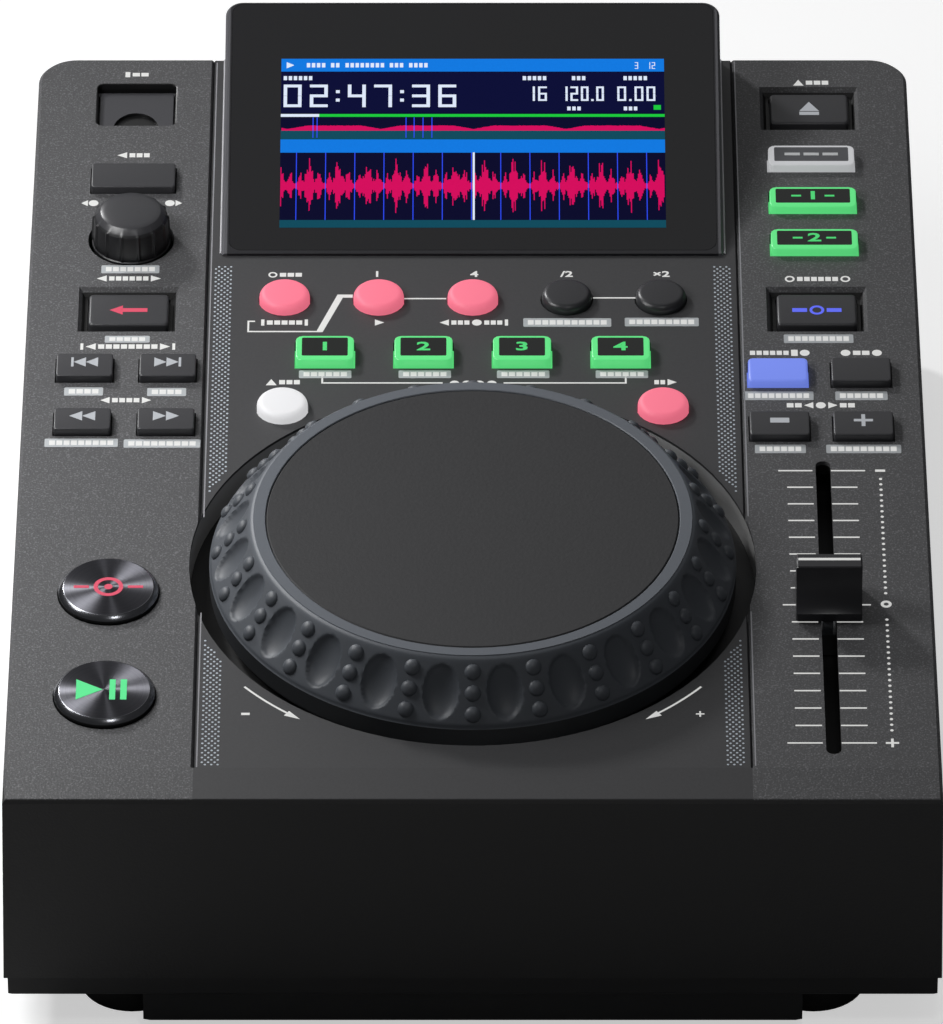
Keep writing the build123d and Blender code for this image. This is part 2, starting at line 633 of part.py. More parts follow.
# --- Tempo fader: case under the panel, lever and cap --------------------------------------
FADER_BODY_L, FADER_BODY_W, FADER_BODY_H = 119.0, 13.0, 10.0
CAP_W, CAP_L, CAP_TOP, CAP_FOOT = 15.5, 13.6, 13.6, 0.6
LEVER_W, LEVER_L = 2.4, 5.0
with BuildPart() as fader_body:
    with BuildSketch(panel.offset(-PANEL_T)):
        with Locations((COLUMN_U, FADER_F)):
            Rectangle(FADER_BODY_W, FADER_BODY_L)
    extrude(amount=-FADER_BODY_H)
    with BuildSketch(panel.offset(-PANEL_T - 1)):
        with Locations((COLUMN_U, FADER_F)):
            Rectangle(FADER_BODY_W - 2, FADER_BODY_L - 2)
    extrude(amount=2 - FADER_BODY_H, mode=Mode.SUBTRACT)
    with BuildSketch(panel.offset(-PANEL_T)):
        with Locations((COLUMN_U, FADER_F)):
            Rectangle(FADER_SLOT_W, FADER_SLOT_L)
    extrude(amount=-2, mode=Mode.SUBTRACT)
save(fader_body.part, "fader_body")

with BuildPart() as fader_lever:
    with BuildSketch(panel.offset(-PANEL_T - FADER_BODY_H + 1.5)):
        with Locations((COLUMN_U, FADER_F)):
            Rectangle(FADER_BODY_W - 3, 9)
    extrude(amount=6)
    with BuildSketch(panel.offset(-PANEL_T - 3)):
        with Locations((COLUMN_U, FADER_F)):
            Rectangle(LEVER_W, LEVER_L)
    extrude(amount=PANEL_T + 3 + 9)
save(fader_lever.part, "fader_lever")

with BuildPart() as fader_cap:
    with BuildSketch(side.offset(COLUMN_U - CAP_W / 2)):
        with BuildLine():
            Line((FADER_F - CAP_L / 2, CAP_FOOT), (FADER_F + CAP_L / 2, CAP_FOOT))
            Line((FADER_F + CAP_L / 2, CAP_FOOT), (FADER_F + CAP_L / 2, CAP_FOOT + 2.2))
            RadiusArc((FADER_F + CAP_L / 2, CAP_FOOT + 2.2), (FADER_F + 2.3, CAP_TOP), 18)
            Line((FADER_F + 2.3, CAP_TOP), (FADER_F - 2.3, CAP_TOP))
            RadiusArc((FADER_F - 2.3, CAP_TOP), (FADER_F - CAP_L / 2, CAP_FOOT + 2.2), 18)
            Line((FADER_F - CAP_L / 2, CAP_FOOT + 2.2), (FADER_F - CAP_L / 2, CAP_FOOT))
        make_face()
    extrude(amount=CAP_W)
    with BuildSketch(panel.offset(0)):
        with Locations((COLUMN_U, FADER_F)):
            Rectangle(LEVER_W + 0.1, LEVER_L + 0.1)
    extrude(amount=9.1, mode=Mode.SUBTRACT)
save(fader_cap.part, "fader_cap")

# --- Browse knob: encoder, sliding plunger, turning shaft and fluted knob -------------------
SHAFT_R, SHAFT_TOP, PLUNGER_R, KNOB_FOOT, BUSH_TOP = 3.0, 7.5, 2.0, -1.0, -2.9
FLUTES, FLUTE_DEEP, KNOB_SKIRT, KNOB_BEVEL = 12, 0.75, 1.2, 1.0
knob = Plane(
    panel.from_local_coords((-COLUMN_U, KNOB_F, 0)), x_dir=(1, 0, 0), z_dir=panel.z_dir
)
with BuildPart() as encoder_body:
    with BuildSketch(knob.offset(BOARD_TOP)):
        Rectangle(12.5, 13)
    extrude(amount=5.8)
    with BuildSketch(knob.offset(BOARD_TOP + 5.8)):
        RegularPolygon(SHAFT_R + 1.3, 8)
    extrude(amount=BUSH_TOP - BOARD_TOP - 5.8)
    with BuildSketch(knob.offset(-6.8)):
        Circle(SHAFT_R + 0.05)
    extrude(amount=10, mode=Mode.SUBTRACT)
    with BuildSketch(knob.offset(BOARD_TOP)):
        Circle(PLUNGER_R + 0.05)
    extrude(amount=5, mode=Mode.SUBTRACT)
save(encoder_body.part, "encoder_body")

with BuildPart() as encoder_plunger:
    with BuildSketch(knob.offset(BOARD_TOP + 0.9)):
        Circle(PLUNGER_R)
    extrude(amount=-6.05 - BOARD_TOP - 0.9)
save(encoder_plunger.part, "encoder_plunger")

with BuildPart() as encoder_shaft:
    with BuildSketch(knob.offset(-6.0)):
        Circle(SHAFT_R)
    extrude(amount=SHAFT_TOP + 6.0)
save(encoder_shaft.part, "encoder_shaft")

flute_turns = [corner * tau / (4 * FLUTES) for corner in range(4 * FLUTES)]
flute_radii = [KNOB_TOP_R, KNOB_TOP_R - FLUTE_DEEP, KNOB_TOP_R, KNOB_TOP_R] * FLUTES
with BuildPart() as browse_knob:
    with BuildSketch(knob.offset(KNOB_FOOT)):
        Circle(KNOB_R)
    extrude(amount=KNOB_SKIRT - KNOB_FOOT)
    # Above the round skirt the side has finger flutes, and a bevel all round its top.
    with BuildSketch(knob.offset(KNOB_SKIRT)):
        Polygon(
            *[(r * cos(turn), r * sin(turn)) for r, turn in zip(flute_radii, flute_turns)],
            align=None,
        )
    extrude(amount=KNOB_TOP - KNOB_SKIRT)
    crown = browse_knob.faces().sort_by(Axis(knob.origin, knob.z_dir))[-1]
    chamfer(crown.edges(), KNOB_BEVEL)
    with BuildSketch(knob.offset(KNOB_FOOT)):
        Circle(SHAFT_R + 0.03)
    extrude(amount=SHAFT_TOP + 0.05 - KNOB_FOOT, mode=Mode.SUBTRACT)
save(browse_knob.part, "browse_knob")

# --- Memory-stick bay: hinged flap and the socket under it ----------------------------------
with BuildPart() as usb_door:
    with BuildSketch(panel.offset(DOOR_TOP)):
        with Locations((-COLUMN_U, HINGE_F)):
            Rectangle(DOOR_W, DOOR_D - 1.2, align=(Align.CENTER, Align.MAX))
    extrude(amount=-DOOR_T)
    with BuildSketch(side.offset(-COLUMN_U)):
        with Locations((HINGE_F, HINGE_N)):
            Circle(HINGE_R)
    extrude(amount=DOOR_W / 2 + 1.1, both=True)
    with BuildSketch(panel.offset(DOOR_TOP - 0.9)):
        with Locations((-COLUMN_U, HINGE_F - DOOR_D + 1.2)):
            Circle(5.5)
    extrude(amount=5, mode=Mode.SUBTRACT)
save(usb_door.part, "usb_door")

with BuildPart() as usb_socket:
    with BuildSketch(panel.offset(BAY_END)):
        with Locations((-COLUMN_U, USB_F - 1.2)):
            Rectangle(21, 16.5)
    extrude(amount=-1.5)
    with BuildSketch(panel.offset(BAY_END - 1.5)):
        with Locations((-COLUMN_U, USB_F - 1.2)):
            Rectangle(14.5, 7)
    extrude(amount=-13)
    with BuildSketch(panel.offset(BAY_END - 12.5)):
        with Locations((-COLUMN_U, USB_F - 1.2)):
            Rectangle(12.6, 5.2)
    extrude(amount=20, mode=Mode.SUBTRACT)
    with BuildSketch(panel.offset(BAY_END - 12.5)):
        with Locations((-COLUMN_U, USB_F - 0.2)):
            Rectangle(11.3, 1.8)
    extrude(amount=10)
save(usb_socket.part, "usb_socket")

# --- Rear panel: mains inlet, rocker switch, USB-B socket and line-out jacks ----------------
CAVITY_W, CAVITY_H, CAVITY_DEEP = 24.4, 16.4, 17.0
with BuildPart() as power_inlet:
    with BuildSketch(rear):
        with Locations((INLET_X, 0)):
            RectangleRounded(33, 26, 2)
    extrude(amount=2.2)
    with BuildSketch(rear):
        with Locations((INLET_X, 0)):
            Rectangle(INLET_W, INLET_H)
    extrude(amount=-24)
    with BuildSketch(rear.offset(-CAVITY_DEEP)):
        with Locations((INLET_X, 0)):
            Polygon(
                (-CAVITY_W / 2, CAVITY_H / 2), (CAVITY_W / 2, CAVITY_H / 2),
                (CAVITY_W / 2, 4 - CAVITY_H / 2), (CAVITY_W / 2 - 4, -CAVITY_H / 2),
                (4 - CAVITY_W / 2, -CAVITY_H / 2), (-CAVITY_W / 2, 4 - CAVITY_H / 2),
                align=None,
            )
    extrude(amount=25, mode=Mode.SUBTRACT)
save(power_inlet.part, "power_inlet")

with BuildPart() as inlet_pins:
    with BuildSketch(rear.offset(-CAVITY_DEEP)):
        with Locations((INLET_X - 7, -2), (INLET_X, 4), (INLET_X + 7, -2)):
            Rectangle(2, 4)
    extrude(amount=CAVITY_DEEP - 1.5)
save(inlet_pins.part, "inlet_pins")

ROCKER_W, ROCKER_PIVOT = 10.4, -0.5
with BuildPart() as switch_frame:
    with BuildSketch(rear):
        with Locations((SWITCH_X, 0)):
            Rectangle(15, 21)
    extrude(amount=1.6)
    with BuildSketch(rear):
        with Locations((SWITCH_X, 0)):
            Rectangle(SWITCH_W, SWITCH_H)
    extrude(amount=-14)
    with BuildSketch(rear.offset(-9)):
        with Locations((SWITCH_X, 0)):
            Rectangle(ROCKER_W + 0.6, 17.2)
    extrude(amount=20, mode=Mode.SUBTRACT)
    pivot_plane = Plane(
        (-SWITCH_X, REAR_Y + ROCKER_PIVOT, REAR_Z), x_dir=(0, 0, 1), z_dir=(1, 0, 0)
    )
    with BuildSketch(pivot_plane):
        Circle(1.05)
    extrude(amount=20, both=True, mode=Mode.SUBTRACT)
save(switch_frame.part, "switch_frame")

with BuildPart() as power_rocker:
    with BuildSketch(pivot_plane):
        Polygon(
            (-7.4, -4.4), (0, -3.2), (7.4, -4.4), (7.9, -0.5), (5, 4.5), (-5, 4.5), (-7.9, -0.5),
            align=None,
        )
    extrude(amount=ROCKER_W / 2, both=True)
    with BuildSketch(pivot_plane):
        Circle(1.0)
    extrude(amount=SWITCH_W / 2 - 0.1, both=True)
save(power_rocker.part, "power_rocker")

with BuildPart() as usb_b_port:
    with BuildSketch(rear.offset(0.6)):
        with Locations((USB_B_X, 0)):
            Rectangle(USB_B_W, USB_B_H)
    extrude(amount=-16)
    with BuildSketch(rear.offset(-9)):
        with Locations((USB_B_X, 0)):
            Rectangle(8.6, 7.8)
    extrude(amount=12, mode=Mode.SUBTRACT)
    with BuildSketch(rear.offset(-9)):
        with Locations((USB_B_X, 0.2)):
            Rectangle(5.6, 3.2)
    extrude(amount=8)
save(usb_b_port.part, "usb_b_port")

LINE_R = 4.15
with BuildPart() as line_jacks:
    with BuildSketch(rear.offset(-2.4)):
        with Locations((LINE_X, 1.2)):
            Rectangle(32, 13.2)
    extrude(amount=-12)
    line_places = (LINE_X - LINE_PITCH / 2, 0), (LINE_X + LINE_PITCH / 2, 0)
    with BuildSketch(rear.offset(-2.4)):
        with Locations(*line_places):
            Rectangle(LINE_COLLAR_W, LINE_COLLAR_W)
    extrude(amount=3.2)
    with BuildSketch(rear.offset(0.8)):
        with Locations(*line_places):
            Circle(LINE_R)
    extrude(amount=JACK_REACH - 0.8)
    with BuildSketch(rear.offset(JACK_REACH - 8)):
        with Locations(*line_places):
            Circle(1.65)
    extrude(amount=20, mode=Mode.SUBTRACT)
save(line_jacks.part, "line_jacks")

# --- Boards inside the case -------------------------------------------------------------------
with BuildPart() as main_board:
    with BuildSketch(Plane.XY.offset(MAIN_BOARD_TOP - BOARD_T)):
        with Locations((-46, 79)):
            Rectangle(90, 116)
    extrude(amount=BOARD_T)
    with BuildSketch(Plane.XY.offset(MAIN_BOARD_TOP)):
        with Locations((-46, 60), (-66, 90)):
            Rectangle(17, 17)
        with Locations((-20, 95)):
            Rectangle(11, 14)
    extrude(amount=1.6)
save(main_board.part, "main_board")

with BuildPart() as power_supply:
    with BuildSketch(Plane.XY.offset(SUPPLY_TOP - BOARD_T)):
        with Locations((56, 70)):
            Rectangle(80, 80)
    extrude(amount=BOARD_T)
    with BuildSketch(Plane.XY.offset(SUPPLY_TOP)):
        with Locations((52, 72)):
            Rectangle(32, 26)
        with Locations((84, 60)):
            Rectangle(3, 44)
    extrude(amount=22)
    with BuildSketch(Plane.XY.offset(SUPPLY_TOP)):
        with Locations((30, 46), (44, 46)):
            RegularPolygon(6, 12)
    extrude(amount=20)
save(power_supply.part, "power_supply")
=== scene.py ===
import math
import random

import bmesh
import bpy
from mathutils import Matrix, Vector


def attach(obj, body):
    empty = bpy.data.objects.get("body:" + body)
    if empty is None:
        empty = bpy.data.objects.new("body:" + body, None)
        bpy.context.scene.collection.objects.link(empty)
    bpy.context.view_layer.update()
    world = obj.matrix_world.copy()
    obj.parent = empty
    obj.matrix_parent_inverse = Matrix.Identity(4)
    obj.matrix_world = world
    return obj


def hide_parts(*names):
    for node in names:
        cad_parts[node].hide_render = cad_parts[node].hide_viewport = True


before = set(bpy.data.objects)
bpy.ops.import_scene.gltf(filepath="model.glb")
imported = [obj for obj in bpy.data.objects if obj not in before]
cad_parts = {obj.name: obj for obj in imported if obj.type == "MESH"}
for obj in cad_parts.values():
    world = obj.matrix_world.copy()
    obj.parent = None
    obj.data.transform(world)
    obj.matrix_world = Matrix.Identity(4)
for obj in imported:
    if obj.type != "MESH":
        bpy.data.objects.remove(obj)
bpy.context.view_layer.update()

# ---- Case --------------------------------------------------------------------------------
# A wedge of dark grey ABS, moulded in one with its sloping control panel. Outside the two
# grooves the panel has a fine sparkling grain; the strip between them is plain and matt.
# The panel's greys are partly painted sheen. The walls below the panel, of the same plastic,
# are painted nearly black as painted shade, and the jog well's wall is painted pale grey as
# painted light.
MM = 0.001
PANEL_TILT = math.radians(3.5)
FRONT_Y, FRONT_Z = -148.19, 68.0     # where the panel's plane meets the front wall
GROOVE_U = 64.8
PANEL_DEEP = 1.15                    # what lies deeper than this is a wall or a well
JOG_F, JOG_WELL_R, WELL_EDGE = 86.5, 67.2, 0.8
SIDE_GREY_AND_SHEEN, STRIP_GREY_AND_SHEEN, WALL_PAINTED_SHADE, WELL_PAINTED_LIGHT = "545456", "3a3a3c", "0b0b0c", "b4b4b4"

# Panel millimetres to the shared frame: x across, y up the slope from the front, z outwards.
PANEL = (
    Matrix.Translation((0, FRONT_Y * MM, FRONT_Z * MM))
    @ Matrix.Rotation(PANEL_TILT, 4, "X")
    @ Matrix.Scale(MM, 4)
)


def linear(hex_colour):
    """An sRGB hex colour as the linear RGBA that a shader takes."""
    parts = [int(hex_colour[i : i + 2], 16) / 255 for i in (0, 2, 4)]
    return [p / 12.92 if p <= 0.04045 else ((p + 0.055) / 1.055) ** 2.4 for p in parts] + [1]


def add_node(tree, kind, inputs=None, **settings):
    """Adds a node with its settings; each input takes a value or another node's output."""
    made = tree.nodes.new(kind)
    for name, value in settings.items():
        setattr(made, name, value)
    for socket, value in (inputs or {}).items():
        if isinstance(value, bpy.types.NodeSocket):
            tree.links.new(value, made.inputs[socket])
        else:
            made.inputs[socket].default_value = value
    return made


def new_material(name):
    """An empty material and its node tree."""
    material = bpy.data.materials.new(name)
    material.use_nodes = True
    material.node_tree.nodes.clear()
    return material, material.node_tree


def shade(hex_colour, by):
    """A hex colour made lighter or darker by a factor, as linear RGBA."""
    return [min(part * by, 1) for part in linear(hex_colour)[:3]] + [1]


def dress(material, *nodes):
    """Gives CAD nodes a material."""
    for node in nodes:
        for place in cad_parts[node].material_slots:
            place.material = material


# Grained ABS: its grey goes by where the surface is, and holds painted light as well as the
# plastic's own grey. The grain breaks up the gloss, and on the side panels it also shows as
# light specks.
GRAIN_MM, SPECK_MM, RELIEF_MM = 0.6, 0.45, 0.16
SPECK_FROM, SPECK_TO, SPECK_MOST = 0.52, 0.76, 0.55
SIDE_RELIEF, STRIP_RELIEF = 0.55, 0.1
SIDE_TONES, STRIP_TONES = (0.8, 2.8), (0.8, 1.2)
PLASTIC_IOR = 1.52
case_abs, tree = new_material("case_grained_abs")
place = add_node(tree, "ShaderNodeTexCoord").outputs["Object"]
axes = add_node(tree, "ShaderNodeSeparateXYZ", {0: place})
grain = add_node(
    tree, "ShaderNodeTexNoise", {"Vector": place, "Scale": 1 / (GRAIN_MM * MM), "Detail": 4.0}
)
specks = add_node(
    tree, "ShaderNodeTexNoise", {"Vector": place, "Scale": 1 / (SPECK_MM * MM), "Detail": 1.0}
)
bright = add_node(
    tree, "ShaderNodeMapRange",
    {"Value": specks.outputs["Fac"], "From Min": SPECK_FROM, "From Max": SPECK_TO, "To Max": SPECK_MOST},
)
sideways = add_node(tree, "ShaderNodeMath", {0: axes.outputs["X"]}, operation="ABSOLUTE")
in_strip = add_node(
    tree, "ShaderNodeMath", {0: sideways.outputs[0], 1: GROOVE_U * MM}, operation="LESS_THAN"
)
uphill = add_node(
    tree, "ShaderNodeMath",
    {0: axes.outputs["Y"], 1: -math.tan(PANEL_TILT), 2: FRONT_Y * MM * math.tan(PANEL_TILT) - FRONT_Z * MM},
    operation="MULTIPLY_ADD",
)
height = add_node(tree, "ShaderNodeMath", {0: axes.outputs["Z"], 1: uphill.outputs[0]}, operation="ADD")
below = add_node(
    tree, "ShaderNodeMath", {0: height.outputs[0], 1: -PANEL_DEEP * MM}, operation="LESS_THAN"
)
# The side and strip greys are partly painted sheen: the light on the panel is painted into them.
side_tone = add_node(
    tree, "ShaderNodeMix",
    {0: bright.outputs[0], 6: shade(SIDE_GREY_AND_SHEEN, SIDE_TONES[0]), 7: shade(SIDE_GREY_AND_SHEEN, SIDE_TONES[1])},
    data_type="RGBA",
)
strip_tone = add_node(
    tree, "ShaderNodeMix",
    {0: grain.outputs["Fac"], 6: shade(STRIP_GREY_AND_SHEEN, STRIP_TONES[0]), 7: shade(STRIP_GREY_AND_SHEEN, STRIP_TONES[1])},
    data_type="RGBA",
)
panel_tone = add_node(
    tree, "ShaderNodeMix",
    {0: in_strip.outputs[0], 6: side_tone.outputs[2], 7: strip_tone.outputs[2]}, data_type="RGBA",
)
from_well = add_node(
    tree, "ShaderNodeVectorMath", {0: place, 1: PANEL @ Vector((0, JOG_F, -2))}, operation="DISTANCE"
)
in_well = add_node(
    tree, "ShaderNodeMath", {0: from_well.outputs["Value"], 1: (JOG_WELL_R + WELL_EDGE) * MM},
    operation="LESS_THAN",
)
# Below the panel, painted shade makes the walls nearly black, and painted light makes the wall of the jog
# well pale grey.
low_painted_light = add_node(
    tree, "ShaderNodeMix",
    {0: in_well.outputs[0], 6: linear(WALL_PAINTED_SHADE), 7: linear(WELL_PAINTED_LIGHT)}, data_type="RGBA",
)
tone = add_node(
    tree, "ShaderNodeMix",
    {0: below.outputs[0], 6: panel_tone.outputs[2], 7: low_painted_light.outputs[2]}, data_type="RGBA",
)
roughening = add_node(
    tree, "ShaderNodeMapRange",
    {"Value": in_strip.outputs[0], "To Min": SIDE_RELIEF, "To Max": STRIP_RELIEF},
)
relief = add_node(
    tree, "ShaderNodeBump",
    {"Height": grain.outputs["Fac"], "Strength": roughening.outputs[0], "Distance": RELIEF_MM * MM},
)
skin = add_node(
    tree, "ShaderNodeBsdfPrincipled",
    {"Base Color": tone.outputs[2], "Roughness": 0.52, "IOR": PLASTIC_IOR, "Normal": relief.outputs[0]},
)
add_node(tree, "ShaderNodeOutputMaterial", {0: skin.outputs[0]})
dress(case_abs, "top_shell")


# ---- Bottom cover and feet ---------------------------------------------------------------
# The cover is a plain black ABS tray, and the feet are soft black rubber discs glued on.
# Eight cross-head screws hold the cover; only their heads show.
LIT_BODY = 0.4                       # how much of its colour a lit piece also shows unlit


def moulded_plastic(name, hex_colour, roughness, grain_mm=0.5, relief_mm=0.01, mottle=0.1, glow=0.0):
    """Plastic from a textured mould: fine relief and mottled tone, or one even tone if it is lit."""
    material, tree = new_material(name)
    place = add_node(tree, "ShaderNodeTexCoord").outputs["Object"]
    grain = add_node(
        tree, "ShaderNodeTexNoise", {"Vector": place, "Scale": 1 / (grain_mm * MM), "Detail": 3.0}
    )
    relief = add_node(tree, "ShaderNodeBump", {"Height": grain.outputs["Fac"], "Distance": relief_mm * MM})
    skin = add_node(
        tree, "ShaderNodeBsdfPrincipled",
        {"Roughness": roughness, "IOR": PLASTIC_IOR, "Normal": relief.outputs[0]},
    )
    if glow:
        skin.inputs["Base Color"].default_value = shade(hex_colour, LIT_BODY)
        skin.inputs["Emission Color"].default_value = linear(hex_colour)
        skin.inputs["Emission Strength"].default_value = glow
    else:
        tone = add_node(
            tree, "ShaderNodeMix",
            {0: grain.outputs["Fac"], 6: shade(hex_colour, 1 - mottle), 7: shade(hex_colour, 1 + mottle)},
            data_type="RGBA",
        )
        tree.links.new(tone.outputs[2], skin.inputs["Base Color"])
    add_node(tree, "ShaderNodeOutputMaterial", {0: skin.outputs[0]})
    return material


# The cover's plastic is dull and nearly black; the rubber is duller still, with a coarse skin.
cover_abs = moulded_plastic("cover_black_abs", "08080a", 0.6)
foot_rubber = moulded_plastic("foot_rubber", "101010", 0.85, grain_mm=0.8, relief_mm=0.03)
dress(cover_abs, "bottom_cover")
dress(foot_rubber, "rubber_feet")


def ride_along(name, mesh, body, sharp):
    """Makes a finished mesh an object that rides on a body and has a material slot."""
    mesh.shade_smooth()
    mesh.set_sharp_from_angle(angle=math.radians(sharp))
    made = bpy.data.objects.new(name, mesh)
    bpy.context.scene.collection.objects.link(made)
    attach(made, body)
    return made


def skin_levels(bm, levels):
    """Closes a solid over a list of outlines, each with as many points as the others."""
    rings = [[bm.verts.new(point) for point in outline] for outline in levels]
    count = len(rings[0])
    for low, high in zip(rings, rings[1:]):
        for here in range(count):
            after = (here + 1) % count
            bm.faces.new((low[here], low[after], high[after], high[here]))
    bm.faces.new(list(reversed(rings[0])))
    bm.faces.new(rings[-1])
    return bm


def circle(radius, height, sides=32):
    """Points round a circle about the z axis."""
    return [
        (radius * math.cos(math.tau * k / sides), radius * math.sin(math.tau * k / sides), height)
        for k in range(sides)
    ]


def oblong(left, low, right, high):
    """The corners of a rectangle, anticlockwise."""
    return [(left, low), (right, low), (right, high), (left, high)]


def at_height(points, n):
    """Flat outline points set at a height."""
    return [(x, y, n) for x, y in points]


def sow(name, template_bm, seats, material, body, sharp=35):
    """Sets a copy of a small solid on every seat (place, turn, scale) by Geometry Nodes."""
    part_mesh = bpy.data.meshes.new(name + "_part")
    template_bm.to_mesh(part_mesh)
    template_bm.free()
    part = bpy.data.objects.new(name + "_part", part_mesh)
    bed_mesh = bpy.data.meshes.new(name + "_bed")
    bed_mesh.from_pydata([seat[0] for seat in seats], [], [])
    for attribute, index in (("turn", 1), ("size", 2)):
        layer = bed_mesh.attributes.new(attribute, "FLOAT_VECTOR", "POINT")
        layer.data.foreach_set("vector", [value for seat in seats for value in seat[index]])
    bed = bpy.data.objects.new(name + "_bed", bed_mesh)
    for holder in (part, bed):
        bpy.context.scene.collection.objects.link(holder)

    tree = bpy.data.node_groups.new(name + "_tree", "GeometryNodeTree")
    tree.interface.new_socket("Seats", in_out="INPUT", socket_type="NodeSocketGeometry")
    part_input = tree.interface.new_socket("Part", in_out="INPUT", socket_type="NodeSocketObject")
    unit_input = tree.interface.new_socket("Unit", in_out="INPUT", socket_type="NodeSocketFloat")
    finish_input = tree.interface.new_socket("Finish", in_out="INPUT", socket_type="NodeSocketMaterial")
    tree.interface.new_socket("Sown", in_out="OUTPUT", socket_type="NodeSocketGeometry")
    given = add_node(tree, "NodeGroupInput").outputs
    part_info = add_node(tree, "GeometryNodeObjectInfo", {"Object": given["Part"], "As Instance": True})
    turn, size = (
        add_node(tree, "GeometryNodeInputNamedAttribute", {"Name": kept}, data_type="FLOAT_VECTOR")
        for kept in ("turn", "size")
    )
    euler = add_node(tree, "FunctionNodeEulerToRotation", {0: turn.outputs["Attribute"]})
    scale = add_node(
        tree, "ShaderNodeVectorMath",
        {0: size.outputs["Attribute"], "Scale": given["Unit"]}, operation="SCALE",
    )
    copies = add_node(
        tree, "GeometryNodeInstanceOnPoints",
        {"Points": given["Seats"], "Instance": part_info.outputs["Geometry"],
         "Rotation": euler.outputs[0], "Scale": scale.outputs[0]},
    )
    real = add_node(tree, "GeometryNodeRealizeInstances", {0: copies.outputs[0]})
    finished = add_node(
        tree, "GeometryNodeSetMaterial", {0: real.outputs[0], "Material": given["Finish"]}
    )
    add_node(tree, "NodeGroupOutput", {0: finished.outputs[0]})
    grow = bed.modifiers.new("sow", "NODES")
    grow.node_group = tree
    grow[part_input.identifier], grow[unit_input.identifier] = part, MM
    grow[finish_input.identifier] = material
    mesh = bpy.data.meshes.new_from_object(bed.evaluated_get(bpy.context.evaluated_depsgraph_get()))
    for holder in (part, bed):
        bpy.data.objects.remove(holder)
    for layer in ("turn", "size"):
        if layer in mesh.attributes:
            mesh.attributes.remove(mesh.attributes[layer])
    mesh.name = name
    return ride_along(name, mesh, body, sharp)


LINE_DARK, LINE_LIGHT, LINE_DEEP_MM = 0.85, 1.15, 0.003


def turned_metal(name, hex_colour, roughness, line_mm=0.15):
    """Metal with fine tool lines as relief and tone, which draw its reflections out a little."""
    material, tree = new_material(name)
    place = add_node(tree, "ShaderNodeTexCoord").outputs["Object"]
    lines = add_node(tree, "ShaderNodeTexNoise", {"Vector": place, "Scale": 1 / (line_mm * MM)})
    tone = add_node(
        tree, "ShaderNodeMix",
        {0: lines.outputs["Fac"], 6: shade(hex_colour, LINE_DARK), 7: shade(hex_colour, LINE_LIGHT)},
        data_type="RGBA",
    )
    relief = add_node(
        tree, "ShaderNodeBump", {"Height": lines.outputs["Fac"], "Distance": LINE_DEEP_MM * MM}
    )
    skin = add_node(
        tree, "ShaderNodeBsdfPrincipled",
        {"Base Color": tone.outputs[2], "Metallic": 1.0, "Roughness": roughness,
         "Normal": relief.outputs[0]},
    )
    add_node(tree, "ShaderNodeOutputMaterial", {0: skin.outputs[0]})
    return material


# A pan head with a cross recess, seen from below; the recess is drawn as a dark cross of
# painted shade.
SCREW_R, SCREW_HIGH, SCREW_SUNK = 2.9, 1.1, 0.3
CROSS_W, CROSS_L, CROSS_IN, CROSS_PROUD = 0.8, 3.4, 0.3, 0.02
SCREW_X, SCREW_YS, COVER_Z = 100.5, (-136, -46, 44, 128), 10.3
screw_steel = turned_metal("screw_black_zinc", "3a3a3c", 0.35)
screw = skin_levels(bmesh.new(), [
    circle(0.72 * SCREW_R, -SCREW_HIGH), circle(SCREW_R, -0.5 * SCREW_HIGH), circle(SCREW_R, SCREW_SUNK),
])
screw_seats = [
    ((x * MM, y * MM, COVER_Z * MM), (0, 0, 0), (1, 1, 1))
    for x in (-SCREW_X, SCREW_X) for y in SCREW_YS
]
sow("cover_screws", screw, screw_seats, screw_steel, "case")
cross = bmesh.new()
for length, width in ((CROSS_L, CROSS_W), (CROSS_W, CROSS_L)):
    bar = oblong(-length / 2, -width / 2, length / 2, width / 2)
    skin_levels(cross, [at_height(bar, -SCREW_HIGH + n) for n in (-CROSS_PROUD, CROSS_IN)])
cross_painted_shade = moulded_plastic("cross_shadow", "060606", 0.9)
sow("screw_crosses", cross, screw_seats, cross_painted_shade, "case")


# ---- Panel prints: halftone bands --------------------------------------------------------
# Two bands of small pale dots are screen printed beside the grooves, on the strip, and
# stop where the jog well cuts them. The ink stands only a few hundredths off the plastic.
INK_T = 0.05
STRIP_N = -0.4                       # the strip lies this much below the side panels
BAND_START, BAND_COLUMNS, BAND_CLEAR = 59.15, 6, 1.6
DOT_R, COLUMN_PITCH, ROW_PITCH = 0.28, 0.74, 0.86
BAND_FOOT, BAND_HEAD = 12.4, 205.0


def screen_ink(name, hex_colour, glow=0.0):
    """Printed ink: flat, a little uneven, with a soft gloss."""
    return moulded_plastic(name, hex_colour, 0.55, grain_mm=0.3, relief_mm=0.004, mottle=0.05, glow=glow)


def panel_seat(u, f, n, size=(1, 1, 1)):
    """A seat for sow on the panel, square to it."""
    return PANEL @ Vector((u, f, n)), (PANEL_TILT, 0, 0), size


dot_ink = screen_ink("halftone_blue_white_ink", "c6ced8")
dot = skin_levels(bmesh.new(), [circle(DOT_R, n, 8) for n in (0, INK_T)])
dot_seats = []
for side in (-1, 1):
    for row in range(int((BAND_HEAD - BAND_FOOT) / ROW_PITCH)):
        f = BAND_FOOT + row * ROW_PITCH
        for column in range(row % 2, BAND_COLUMNS, 2):
            u = side * (BAND_START + column * COLUMN_PITCH)
            if math.hypot(u, f - JOG_F) > JOG_WELL_R + BAND_CLEAR:
                dot_seats.append(panel_seat(u, f, STRIP_N))
sow("halftone_bands", dot, dot_seats, dot_ink, "case")


